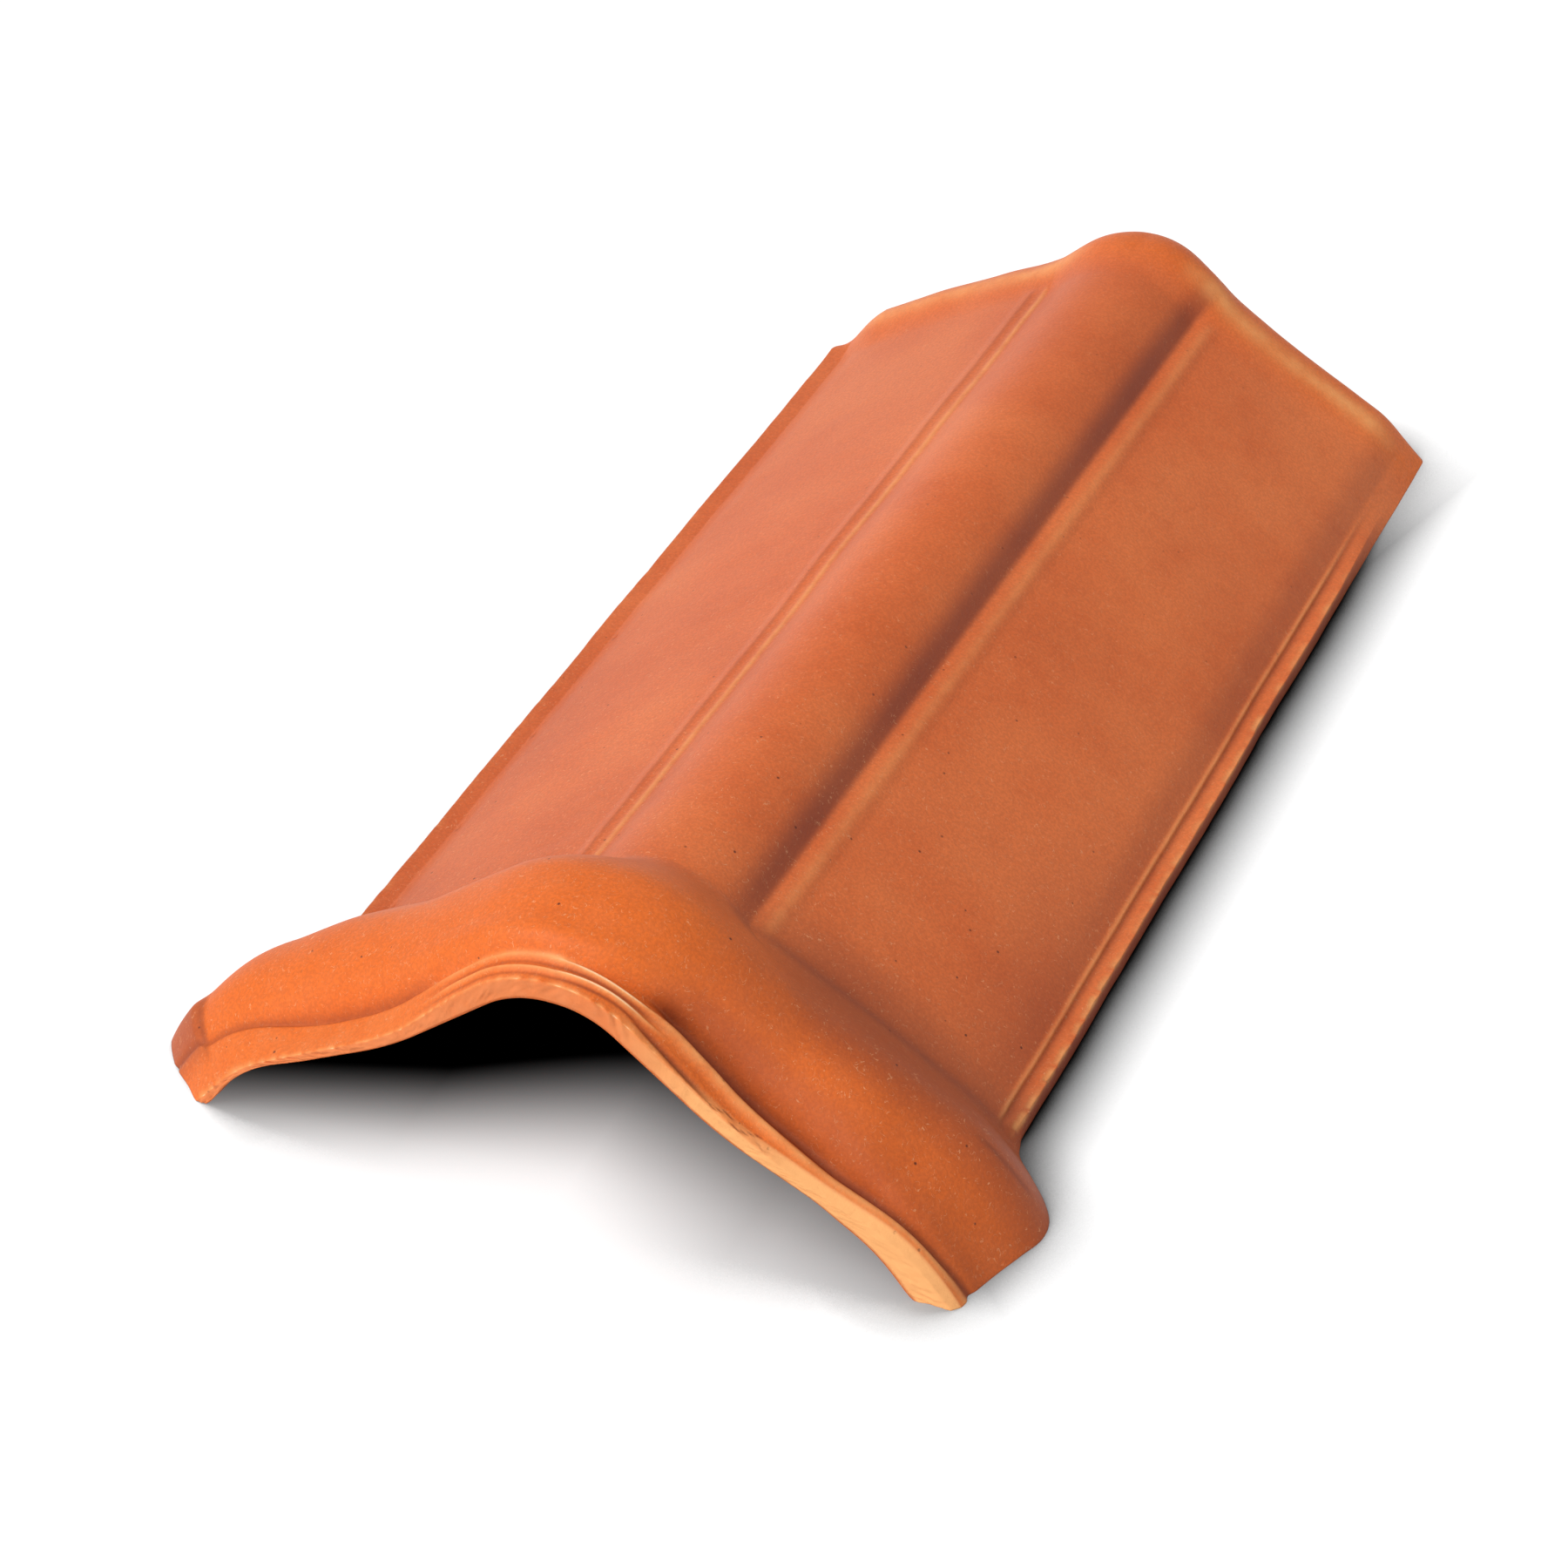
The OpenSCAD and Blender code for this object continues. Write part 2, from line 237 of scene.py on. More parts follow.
def outerSection(y):
    # half section as blocks of stations, each a row of places for every y: crown arc, flank line, valley
    # fillet, terrace, wing line, shoulder arc, skirt line, rim shelf and rim face
    n = fineness["stations"]
    flank, wing, skirt, valleyX, valleyZ, flankRun = sectionAngles(y)
    crownRadius, shoulderRadius = tile["crownRadius"], tile["shoulderRadius"]
    centre, edge = crownTop(y) - crownRadius, halfWidth(y)
    bend = np.tan((flank - wing) / 2)
    fill = np.minimum(valleyFill(y), tile["flankFill"] * flankRun / bend)
    valleyCut, shoulderCut = fill * bend, shoulderRadius * np.tan((skirt - wing) / 2)
    crownEnd = (crownRadius * np.sin(flank), centre + crownRadius * np.cos(flank))
    flankEnd = (valleyX - valleyCut * np.cos(flank), valleyZ + valleyCut * np.sin(flank))
    wingStart = (valleyX + valleyCut * np.cos(wing), valleyZ - valleyCut * np.sin(wing))
    wingEnd = (edge - tile["skirtInset"] - shoulderCut * np.cos(wing),
               tile["skirtHeight"] + shoulderCut * np.sin(wing))
    wingRun = np.hypot(wingEnd[0] - wingStart[0], wingEnd[1] - wingStart[1])
    skirtRun = np.hypot(tile["skirtInset"], tile["skirtHeight"])
    reach = skirtRun + shoulderCut
    terraceRun = tile["terraceWidth"] + tile["terraceFall"]
    low, mid, high, past = (tile[k] for k in ("beadCrown", "beadFlank", "beadValley", "beadTerrace"))
    blocks = []

    def block(*columns):
        # x, z, fall angle, push angle, terrace, rim and share of the bead at each station
        size = np.broadcast(*columns, y).shape
        blocks.append([np.broadcast_to(k, size) for k in columns])

    u = np.linspace(0, 1, n["crown"])[None]
    a = flank * u
    block(crownRadius * np.sin(a), centre + crownRadius * np.cos(a), a, a, 0, 0, lerp(low, high, mid * u))
    u = np.linspace(0, 1, n["flank"] + 2)[None, 1:-1]
    x, z = lerp(crownEnd[0], flankEnd[0], u), lerp(crownEnd[1], flankEnd[1], u)
    block(x, z, flank, flank, 0, 0, lerp(low, high, lerp(mid, 1, u)))
    u = np.linspace(0, 1, n["valley"])[None]
    a = lerp(flank, wing, u)
    x, z = flankEnd[0] + fill * (np.sin(flank) - np.sin(a)), flankEnd[1] + fill * (np.cos(flank) - np.cos(a))
    block(x, z, a, a, 0, 0, high)
    d = np.linspace(0, terraceRun, n["terrace"] + 1)[None, 1:]
    up = np.clip(d / tile["terraceWidth"], 0, 1)
    foot = tile["terraceFoot"]
    step = np.where(up < 1, ease(foot + (1 - foot) * up) - ease(foot) * (1 - up),
                    1 - ramp(d, tile["terraceWidth"], tile["terraceFall"]))
    x, z = wingStart[0] + d * np.cos(wing), wingStart[1] - d * np.sin(wing)
    block(x, z, wing, wing, tile["terraceHeight"] * step, 0, lerp(high, past, d / terraceRun))
    u = np.linspace(0, 1, n["wing"] + 2)[None, 1:-1]
    d = lerp(terraceRun, wingRun, u)
    x, z = wingStart[0] + d * np.cos(wing), wingStart[1] - d * np.sin(wing)
    block(x, z, wing, wing, 0, 0, lerp(past, 1.0, ease(3 * u)))
    u = np.linspace(0, 1, n["shoulder"])[None]
    a = lerp(wing, skirt, u)
    q = 2 * shoulderCut * u / reach
    x = wingEnd[0] + shoulderRadius * (np.sin(a) - np.sin(wing))
    z = wingEnd[1] + shoulderRadius * (np.cos(a) - np.cos(wing))
    block(x, z, a, lerp(wing, np.pi / 2, q), 0, 0, 1 - q)
    # skirt, shelf and face run down the same line; the rim's height stands on it as a lift
    rim = tile["rimHeight"]
    shelfTop, faceTop, faceLift = rim / np.sin(skirt), rim * np.sin(skirt), rim * np.cos(skirt)
    for name, start, end, firstLift, lastLift in (("skirt", skirtRun - shoulderCut, shelfTop, 0, 0),
                                                  ("shelf", shelfTop, faceTop, 0, faceLift),
                                                  ("face", faceTop, 0, faceLift, 0)):
        u = np.linspace(0, 1, n[name] + 1)[None, 1:]
        t = lerp(start, end, u)
        q = 1 - t / reach
        x, z = edge - t * np.cos(skirt), t * np.sin(skirt)
        block(x, z, skirt, lerp(wing, np.pi / 2, q), 0, lerp(firstLift, lastLift, u), 1 - q)
    return [np.concatenate(k, 1) for k in zip(*blocks)]


# relief of the lip in millimetres, and the strengths of its colour marks; 1 is the right half and -1 the left
# one; a line is two rows, distance from the crown along the section and distance from the mouth there; a span
# is where a form begins and ends and how softly, and a ramp is where it begins and over how far
lipRelief = {
    "depth": (18.0, 4.0),
    "lipLine": {1: ((0, 10, 20, 30, 42, 54, 73, 85, 95, 106, 124),
                    (6.7, 8.6, 12.6, 15.0, 15.0, 13.8, 12.0, 10.4, 9.4, 8.4, 8.0)),
                -1: ((0, 20, 40, 60, 80, 100, 124), (6.7, 7.4, 8.4, 9.6, 10.4, 10.6, 10.2))},
    # two thin ribs over the crown, and the lip's tilt there
    "rib": 0.95, "upperWidth": 0.62, "upperSpan": (-34, 40, 24), "upperDrift": 0.01,
    "lowerPlace": 3.5, "lowerWidth": 0.6, "lowerSpan": (-34, 22, 20), "lowerDrift": 0.09,
    "tilt": 2.4, "tiltSpan": (-52, 20, 44), "tiltUp": 1.3, "tiltDown": 12,
    # right leg: bold ridge, grooves on both sides of it, flat facet and a thin crack
    "ridge": 2.1, "ridgeWidth": 2.0, "ridgeRamp": (13, 18), "ridgeSink": (62, 26), "ridgeSunk": 0.55,
    "ridgeLine": ((0, 9, 14, 20, 30, 40, 52, 63, 75, 90, 124),
                  (6.8, 6.9, 7.3, 8.2, 8.8, 8.4, 7.2, 6.2, 5.0, 4.4, 4.6)),
    "footRamp": (0.88, 0.12), "footShare": 0.35, "legRamp": (0.6, 0.3),
    "groove": 2.2, "grooveRamp": (14, 14), "grooveWidths": (2.3, 1.7),
    "grooveLine": ((14, 22, 36, 54, 73, 85, 95, 106, 124),
                   (12.0, 13.6, 13.2, 12.0, 10.6, 8.6, 8.0, 6.8, 7.2)),
    "inner": 1.0, "innerSpan": (18, 44, 14), "innerWidth": 1.1,
    "innerLine": ((12, 18, 22, 31, 40, 50), (4.4, 3.8, 3.4, 2.6, 1.8, 1.2)),
    "facet": 1.7, "facetLength": 2.3, "facetRamp": (52, 26), "facetSoft": 1.2,
    "crack": 0.35, "crackSpan": (47, 68, 8), "crackPlace": 1.5, "crackSway": (1.1, 7.0), "crackWidth": 0.28,
    # left leg: slanting band and the crease behind it
    "band": 2.0, "bandRamp": (22, 30), "bandAtFoot": 0.25, "bandShort": 0.8, "bandLeast": 2,
    "crease": 0.7, "creaseRamp": (30, 16), "creaseBehind": 0.2, "creaseWidth": 0.8,
    # ragged cut edge: depth, size, mean and swing, share lost on the facet, reach down and reach back
    "ragged": 0.6, "raggedSize": 3.2, "raggedMix": (0.55, 0.45), "raggedOff": 0.7, "raggedReach": (0.7, 0.8),
    # colour marks: wear, painted highlights on the ribs and the ridge, then painted shade
    "ribHighlight": (0.55, 1.0), "ribHighlightRamp": (-8, 16), "ribHighlightWidths": (0.6, 0.55),
    "ridgeHighlight": 0.65, "ridgeHighlightWidth": 1.8, "edgeWear": 0.95, "edgeWearOff": 0.6, "bandWear": 0.12,
    "legWear": 0.5, "legWearSpan": (16, 64, 12), "legWearFade": (1.6, 1.6),
    "innerDark": 0.9, "creaseDark": 0.6, "crackDark": 0.9,
    "ribDark": 0.85, "ribDarkPlace": 1.5, "ribDarkWidth": 0.5,
    "behindDark": 0.4, "behindPlace": 2, "behindWidth": 5.0,
}


def mouthRelief(y, run, q, start, side):
    # relief of the plain lip, as heights over it, with its wear, painted highlights, painted shade and cut
    # clay: two thin ribs over the crown; on the right the upper one swells to a bold ridge between two
    # grooves and sinks into a flat facet; on the left a slanting band ends at a crease
    r = lipRelief
    right = float(side > 0)
    left = 1 - right
    arc = side * run
    swell = right * ramp(run, *r["ridgeRamp"])
    atFoot = lerp(1, r["footShare"], ramp(q, *r["footRamp"]))
    onLeg = ramp(q, *r["legRamp"])

    upperAt = curve(run * right, *r["ridgeLine"]) + r["upperDrift"] * run * left
    lowerAt = r["lowerPlace"] + r["lowerDrift"] * run * right
    crown = window(arc, *r["upperSpan"])
    ridge = r["ridge"] * lerp(1, r["ridgeSunk"], ramp(run, *r["ridgeSink"]))
    ridge = lerp(r["rib"] * crown, ridge, swell)
    ridge = ridge * bell(y - upperAt, lerp(r["upperWidth"], r["ridgeWidth"], swell)) * atFoot
    rib = r["rib"] * bell(y - lowerAt, r["lowerWidth"]) * window(arc, *r["lowerSpan"])
    tilt = r["tilt"] * window(arc, *r["tiltSpan"])
    tilt = tilt * ease(y / (r["tiltUp"] * upperAt)) * (1 - ramp(y, upperAt, r["tiltDown"]))

    inner = right * window(run, *r["innerSpan"]) * bell(y - curve(run, *r["innerLine"]), r["innerWidth"])
    furrow = right * ramp(run, *r["grooveRamp"])
    furrow = furrow * bell(y - curve(run, *r["grooveLine"]), lerp(*r["grooveWidths"], onLeg))
    facet = right * ramp(run, *r["facetRamp"])
    facetSlant = np.clip(1 - y / r["facetLength"], 0, 1)
    sway, swaySize = r["crackSway"]
    crackAt = r["crackPlace"] + sway * waves(arc, 0 * arc, swaySize, 21)
    crack = right * window(run, *r["crackSpan"]) * bell(y - crackAt, r["crackWidth"])

    crease = left * ramp(run, *r["creaseRamp"]) * bell(y - start - r["creaseBehind"], r["creaseWidth"])
    band = left * ramp(run, *r["bandRamp"]) * lerp(1, r["bandAtFoot"], onLeg)
    bandSlant = np.clip(1 - y / np.maximum(start - r["bandShort"], r["bandLeast"]), 0, 1)

    mean, swing = r["raggedMix"]
    ragged = (mean + swing * waves(arc, 0 * arc, r["raggedSize"], 1)) * (1 - r["raggedOff"] * facet)
    reachDown, reachBack = r["raggedReach"]
    height = ridge + rib + tilt - r["inner"] * inner - r["groove"] * furrow * atFoot - r["crease"] * crease
    height = height - r["facet"] * facet * facetSlant - r["band"] * band * bandSlant
    height = height - r["ragged"] * ragged * np.exp(-y / reachDown) - r["crack"] * crack

    # painted highlights along the crests of the two ribs over the crown
    bright = lerp(*r["ribHighlight"], ramp(arc, *r["ribHighlightRamp"])) * crown * (1 - swell)
    upperWidth, lowerWidth = r["ribHighlightWidths"]
    edge = np.exp(-y / reachDown) * np.clip(ragged, 0, 1) * (1 - r["edgeWearOff"] * facet)
    # worn ragged edge, band and leg, with painted highlights on the ribs and along the ridge
    wearAndHighlight = strongest(
        bright * (bell(y - upperAt, upperWidth) + bell(y - lowerAt, lowerWidth)),
        r["ridgeHighlight"] * swell * bell(y - upperAt, r["ridgeHighlightWidth"]),
        r["edgeWear"] * edge,
        r["bandWear"] * band * (y < start),
        r["legWear"] * right * window(run, *r["legWearSpan"]) * (1 - ramp(y, *r["legWearFade"])),
    )
    # painted shade in the grooves, crease and crack, between and below the ribs and in the concave foot
    # behind the right lip
    between = bell(y - (upperAt + lowerAt) / 2, r["ribDarkWidth"])
    below = bell(y - lowerAt + r["ribDarkPlace"], r["ribDarkWidth"])
    paintedShade = strongest(
        furrow, r["innerDark"] * inner, r["creaseDark"] * crease, r["crackDark"] * crack,
        r["ribDark"] * bright * (between + below),
        r["behindDark"] * swell * bell(y - start - r["behindPlace"], r["behindWidth"]),
    )
    cut = facet * ease((r["facetLength"] + r["facetSoft"] / 2 - y) / r["facetSoft"])
    return height, r["ragged"] * ragged * np.exp(-y / reachBack), wearAndHighlight, paintedShade, cut


# relief behind the lip in millimetres, in the same terms; places are counted from the rim's edge, from the
# valley's end or along the tile; a foot is two rows, distance from the mouth and how far it stands out there
bodyRelief = {
    "lean": (2.0, -1.5), "leanRamp": (0.0, 0.7),
    "sway": (0.25, 70.0), "ripple": (0.05, 17.0),
    "foot": {1: ((0, 4, 17, 27, 36, 42, 50, 58, 65, 72),
                 (9.6, 9.9, 13.0, 16.6, 19.3, 18.8, 14.5, 8.0, 2.0, 0.0)),
             -1: ((0, 3, 11, 22, 30, 38, 47, 56, 65, 72),
                  (4.8, 7.5, 14.0, 20.9, 21.0, 18.2, 12.2, 5.2, 1.0, 0.0))},
    "footRamp": (0.62, 0.38), "footEnd": (66, 8), "leftEdge": (-1.6, 0.3), "leftEdgeSpan": (68, 436, 12),
    "hollowFoot": {1: -2.0, -1: 1.0}, "hollowFootRamp": (0.74, 0.2), "hollowFootEnd": (0, 20),
    "hollowTurn": (0.6, 0.4),
    # the bead is thinner on the right wing, fuller on the left one, and dips more in the left valley
    "thinner": 0.3, "thinnerRamp": (0.2, 0.2), "fuller": 0.35, "fullerRamp": (0.46, 0.2),
    "dip": 0.45, "dipPlace": 0.27, "dipWidth": 0.13,
    "pinch": 0.4, "pinchPlace": -1.5, "pinchWidth": 3.2,
    "leftLine": (0.25, 0.6, 0.9), "leftDent": (0.35, 3.2, 1.5),
    "chip": 0.75, "chipWidth": 1.2, "chipMix": (0.42, 0.6, 0.5), "chipSizes": (6.0, 2.2), "chipMost": 1.4,
    "chipSide": {1: 1.0, -1: 0.12}, "chipWorn": (1.0, 0.25), "chipPower": 0.6,
    "shelfLine": 0.55, "shelfRidge": (-5.0, 0.7), "shelfGroove": (-3.4, 0.9),
    "pits": (92.2, 134.2, 185.0, 242.5), "pitDepth": 0.7, "pitPlace": -6.2, "pitWidth": 1.1,
    "fin": 2.4, "finAcross": (0.93, 1.2, 0.02), "finAlong": (8, 25, 9),
    "fillShare": 0.5, "fillStart": (-26, 12), "fillWidth": 9.0, "fillPasses": 60,
    # roughness of the cut mouth: height, stretch, size and seed of each noise
    "mouthRough": ((0.18, 40, 2.2, 11), (0.22, 9, 6.0, 12)),
}


def footRise(rise, y, q, side):
    # the collar's two feet are not quite alike: each goes over to its own line, and behind them the left edge
    # runs in a little at the collar and out at the plain end
    r = bodyRelief
    share = ramp(q, *r["footRamp"])
    rise = lerp(rise, curve(y, *r["foot"][side]), share * (1 - ramp(y, *r["footEnd"])))
    if side < 0:
        rise = rise + share * lerp(*r["leftEdge"], taper(y)) * window(y, *r["leftEdgeSpan"])
    return rise


# strengths and places of the colour marks behind the lip, in the same terms
bodyMarks = {
    # pale marks: wear on the chips, wear and a painted highlight on the bead, painted highlights on the
    # shelf's line and the terrace's edge, a little paler on the shelf beside the line, and painted light on
    # the far right wing
    "chipWear": 1.1, "chipPlace": -0.3, "chipWidth": 1.0, "chipMost": 0.7,
    "shelfHighlight": 0.45, "shelfWidth": 0.8, "besidePale": 0.06, "besideSpan": (-3.2, -0.2, 0.8),
    "beadWearAndHighlight": {1: 1.0, -1: 0.8}, "beadPlace": 12.5, "beadWidth": 4.4, "beadSpan": (0.16, 0.87, 0.14),
    "beadMix": (0.60, 0.08), "beadSize": 11.0,
    "terraceHighlight": {1: (0.22, 5.0, 1.8), -1: (0.5, 0.6, 0.8)},
    "wingPaintedLight": 0.05, "wingAlong": (150, 150), "wingAcross": (8, 20),
    # painted shade in lines: pits, a crack on the right foot, the fin's edge, the shelf's groove, the trimmed
    # face, the terrace's left line and the crease behind the collar
    "pitDark": 0.9,
    "crackDark": 0.75, "crackPlace": (39, 30, 0.9), "crackWidth": 0.9, "crackSpan": (0.86, 0.95, 0.03),
    "finDark": 0.7, "finPlace": 0.928, "finWidth": 0.004,
    "grooveDark": 0.5, "faceDark": 0.55, "faceDarkSpan": (0.9, 20, 0.8),
    "lineDark": 0.4, "linePlace": 4.8, "lineWidth": 0.5,
    "creaseDark": {1: 0.5, -1: 0.25}, "creasePlace": -1.5, "creaseWidth": 3.5, "creaseRamp": (20, 25),
    # broad painted shade, mostly on the right half: flanks, foot of the wings, beside the right rim, back and
    # front of the collar's right half, far end, trimmed faces, fin and left rim
    "flank": {1: 0.85, -1: 0.1}, "flankStart": (-12.5, 9), "flankEnd": (-1.5, 3),
    "foot": {1: (0.36, 0.06), -1: (0.12, 0.12)}, "footAcross": (0.62, 0.26), "footAlong": (110, 120),
    "footClear": (-6, 9, 2),
    "beside": 0.4, "besideStart": (-22, 14), "besideEnd": (-7.5, 3),
    "back": 0.6, "backAlong": (26, 84, 20), "backAcross": (20, 40),
    "front": (0.38, 0.25), "frontUpper": (22, 62, 30), "frontLower": (60, 20), "frontAlong": (8, 40, 14),
    "far": 0.16, "farAlong": (250, 140), "farAcross": (5, 25),
    "trim": 0.9, "trimSpan": (0.1, 20, 0.6), "fin": 0.6, "strip": 0.1, "stripSpan": (-5.2, 9, 1.5),
}


def markBody(y, run, q, fromValley, fromEdge, rim, chips, pits, fin, side):
    # colour marks behind the lip: wear with painted highlights, painted shade in lines, and broad painted
    # shade in a darker, greyer clay colour, mostly on the right half. Each mark is a hump, ramp or window
    # across the section times one along the tile
    m, r = bodyMarks, bodyRelief
    right = float(side > 0)
    left = 1 - right
    arc = side * run
    body, bow = bodyShare(y), bowShare(y)
    shelf = m["shelfHighlight"] * bell(fromEdge - r["shelfRidge"][0], m["shelfWidth"])
    mean, swing = m["beadMix"]
    bead = bell(tile["length"] - y - m["beadPlace"], m["beadWidth"]) * window(q, *m["beadSpan"])
    bead = bead * (mean + swing * waves(arc, 0 * arc, m["beadSize"], 15))
    strength, place, width = m["terraceHighlight"][side]
    # wear on the chips, wear and a painted highlight on the bead, painted highlights on the shelf's line and
    # the terrace's edge, the shelf a little paler beside its line, painted light on the far right wing
    wearAndHighlight = strongest(
        np.clip(m["chipWear"] * chips * bell(fromEdge - m["chipPlace"], m["chipWidth"]), 0, m["chipMost"]),
        right * rim * (shelf + m["besidePale"] * window(fromEdge, *m["besideSpan"])),
        m["beadWearAndHighlight"][side] * bead,
        strength * bell(fromValley - place, width) * body,
        right * m["wingPaintedLight"] * ramp(y, *m["wingAlong"]) * ramp(fromValley, *m["wingAcross"]),
    )

    place, slope, middle = m["crackPlace"]
    crack = bell(y - place - slope * (q - middle), m["crackWidth"]) * window(q, *m["crackSpan"])
    finEdge = bell(q - m["finPlace"], m["finWidth"]) * window(y, *r["finAlong"])
    place, width = r["shelfGroove"]
    groove = m["grooveDark"] * bell(fromEdge - place, width)
    crease = bell(y - tile["collarLength"] - m["creasePlace"], m["creaseWidth"]) * ramp(run, *m["creaseRamp"])
    # painted shade in the pits, the crack, along the fin's edge, in the shelf's groove, on the trimmed face,
    # in the terrace's left line and in the crease behind the collar
    paintedShade = strongest(
        m["pitDark"] * pits,
        right * m["crackDark"] * crack,
        left * m["finDark"] * finEdge,
        right * rim * (groove + m["faceDark"] * window(fromEdge, *m["faceDarkSpan"])),
        left * m["lineDark"] * bell(fromValley - m["linePlace"], m["lineWidth"]) * body,
        m["creaseDark"][side] * crease,
    )

    # broad painted shade, mostly on the right half and on faces turned from the light
    foot = ramp(q, *m["footAcross"]) * (1 - window(fromEdge, *m["footClear"]) * rim)
    upper, lower = m["front"]
    front = upper * window(run, *m["frontUpper"]) + lower * ramp(run, *m["frontLower"])
    paintedBroadShade = strongest(
        m["flank"][side] * ramp(fromValley, *m["flankStart"]) * (1 - ramp(fromValley, *m["flankEnd"])) * bow,
        foot * lerp(*m["foot"][side], ramp(y, *m["footAlong"])) * bow,
        right * m["beside"] * ramp(fromEdge, *m["besideStart"]) * (1 - ramp(fromEdge, *m["besideEnd"])) * bow,
        right * m["back"] * window(y, *m["backAlong"]) * ramp(arc, *m["backAcross"]),
        right * front * window(y, *m["frontAlong"]),
        m["far"] * ramp(y, *m["farAlong"]) * (1 - ramp(arc, *m["farAcross"])),
        m["trim"] * window(fromEdge, *m["trimSpan"]) * rim,
        m["fin"] * fin,
        left * m["strip"] * window(fromEdge, *m["stripSpan"]) * rim,
    )
    return wearAndHighlight, paintedShade, paintedBroadShade


def outerHalf(y, side):
    # the half section pushed out by the collar, the bead, the terrace and the rim, then by the hand-made
    # relief; side is 1 for the right half and -1 for the left one
    r = bodyRelief
    n = fineness["stations"]
    y = y[:, None]
    right = float(side > 0)
    left = 1 - right
    x, z, fall, push, terrace, lift, bead = outerSection(y)
    run, q = runAlong(x, z)
    arc = side * run
    rim, bow = rimShare(y, side), bowShare(y)
    rimEdge = x.shape[1] - 1 - n["face"]
    fromEdge = run - run[:, rimEdge:rimEdge + 1]
    ends = np.cumsum([n[k] for k in ("crown", "flank", "valley", "terrace", "wing", "shoulder")])
    valley, wingEnd = run[:, ends[2] - 1:ends[2]], run[:, ends[5] - 1:ends[5]]
    fromValley = run - valley

    start = curve(run, *lipRelief["lipLine"][side])
    fuller = r["fuller"] * ramp(q, *r["fullerRamp"]) - r["dip"] * bell(q - r["dipPlace"], r["dipWidth"])
    fuller = left * fuller - right * r["thinner"] * ramp(q, *r["thinnerRamp"])
    rise = footRise(collarRise(y, q, start), y, q, side) + beadRise(y) * bead * (1 + fuller)
    height, moved, lipWearAndHighlight, lipDark, cut = mouthRelief(y, run, q, start, side)
    near = 1 - ramp(y, *lipRelief["depth"])
    relief = near * height

    # whole surface: slow sway from drying and a finer ripple from the mould; the valley is pinched in a
    # little, and on the left a fine line and a dent follow it
    for seed, (depth, size) in ((2, r["sway"]), (3, r["ripple"])):
        relief = relief + depth * waves(arc, y, size, seed)
    relief = relief - r["pinch"] * bell(fromValley - r["pinchPlace"], r["pinchWidth"]) * bow
    for sign, (depth, place, width) in ((left, r["leftLine"]), (-left, r["leftDent"])):
        relief = relief + sign * depth * bell(fromValley - place, width) * bow
    wingShare = np.clip(fromValley / (wingEnd - valley), 0, 1)
    wingBow = tile["wingBow"] * 4 * wingShare * (1 - wingShare) * bow

    # rim: chips along the trimmed edge, most beside the collar, a thin raised line and a groove on the right
    # shelf, and a few pits on the left one
    mean, swing, fine = r["chipMix"]
    size, fineSize = r["chipSizes"]
    chips = mean + swing * waves(0 * y, y, size, 4 + side) + fine * waves(0 * y, y, fineSize, 8 + side)
    chips = np.clip(chips, 0, r["chipMost"]) * r["chipSide"][side]
    chips = chips * rim * lerp(*r["chipWorn"], taper(y) ** r["chipPower"])
    chip = r["chip"] * chips * bell(fromEdge, r["chipWidth"])
    ridgePlace, ridgeWidth = r["shelfRidge"]
    groovePlace, grooveWidth = r["shelfGroove"]
    shelfLine = bell(fromEdge - ridgePlace, ridgeWidth) - bell(fromEdge - groovePlace, grooveWidth)
    pits = sum(bell(y - k, r["pitWidth"]) for k in r["pits"])
    pits = left * pits * bell(fromEdge - r["pitPlace"], r["pitWidth"])

    # left foot of the collar: a thin fin of squeezed clay stands along it
    fin = left * window(q, *r["finAcross"]) * window(y, *r["finAlong"])
    grow = rise + relief + r["fin"] * fin - r["pitDepth"] * pits
    lifted = bodyShare(y) * terrace + rim * (lift + right * r["shelfLine"] * shelfLine) + wingBow
    xs = x + grow * np.sin(push) + lifted * np.sin(fall) - chip
    zs = z + grow * np.cos(push) + lifted * np.cos(fall) - chip
    # the bead fills the valley, so there each point moves to the middle of its neighbours many times
    fill = r["fillShare"] * ramp(y - tile["length"], *r["fillStart"])
    fill = fill * bell(fromValley, r["fillWidth"])[:, 1:-1]
    for _ in range(r["fillPasses"]):
        for line in (xs, zs):
            line[:, 1:-1] += fill * ((line[:, 2:] + line[:, :-2]) / 2 - line[:, 1:-1])
    zs = np.maximum(zs, 0)
    zs[:, -1] = 0

    # marks: wear with painted highlights, painted shade in lines and broad painted shade
    wearAndHighlight, paintedShade, paintedBroadShade = markBody(y, run, q, fromValley, fromEdge, rim, chips, pits, fin, side)
    wearAndHighlight, paintedShade = strongest(near * lipWearAndHighlight, wearAndHighlight), strongest(near * lipDark, paintedShade)
    points = np.stack([side * xs + lean(y, q), y + near * moved - tile["length"] / 2, zs], -1)
    return points, q, [wearAndHighlight, paintedShade, near * cut, arc, paintedBroadShade]


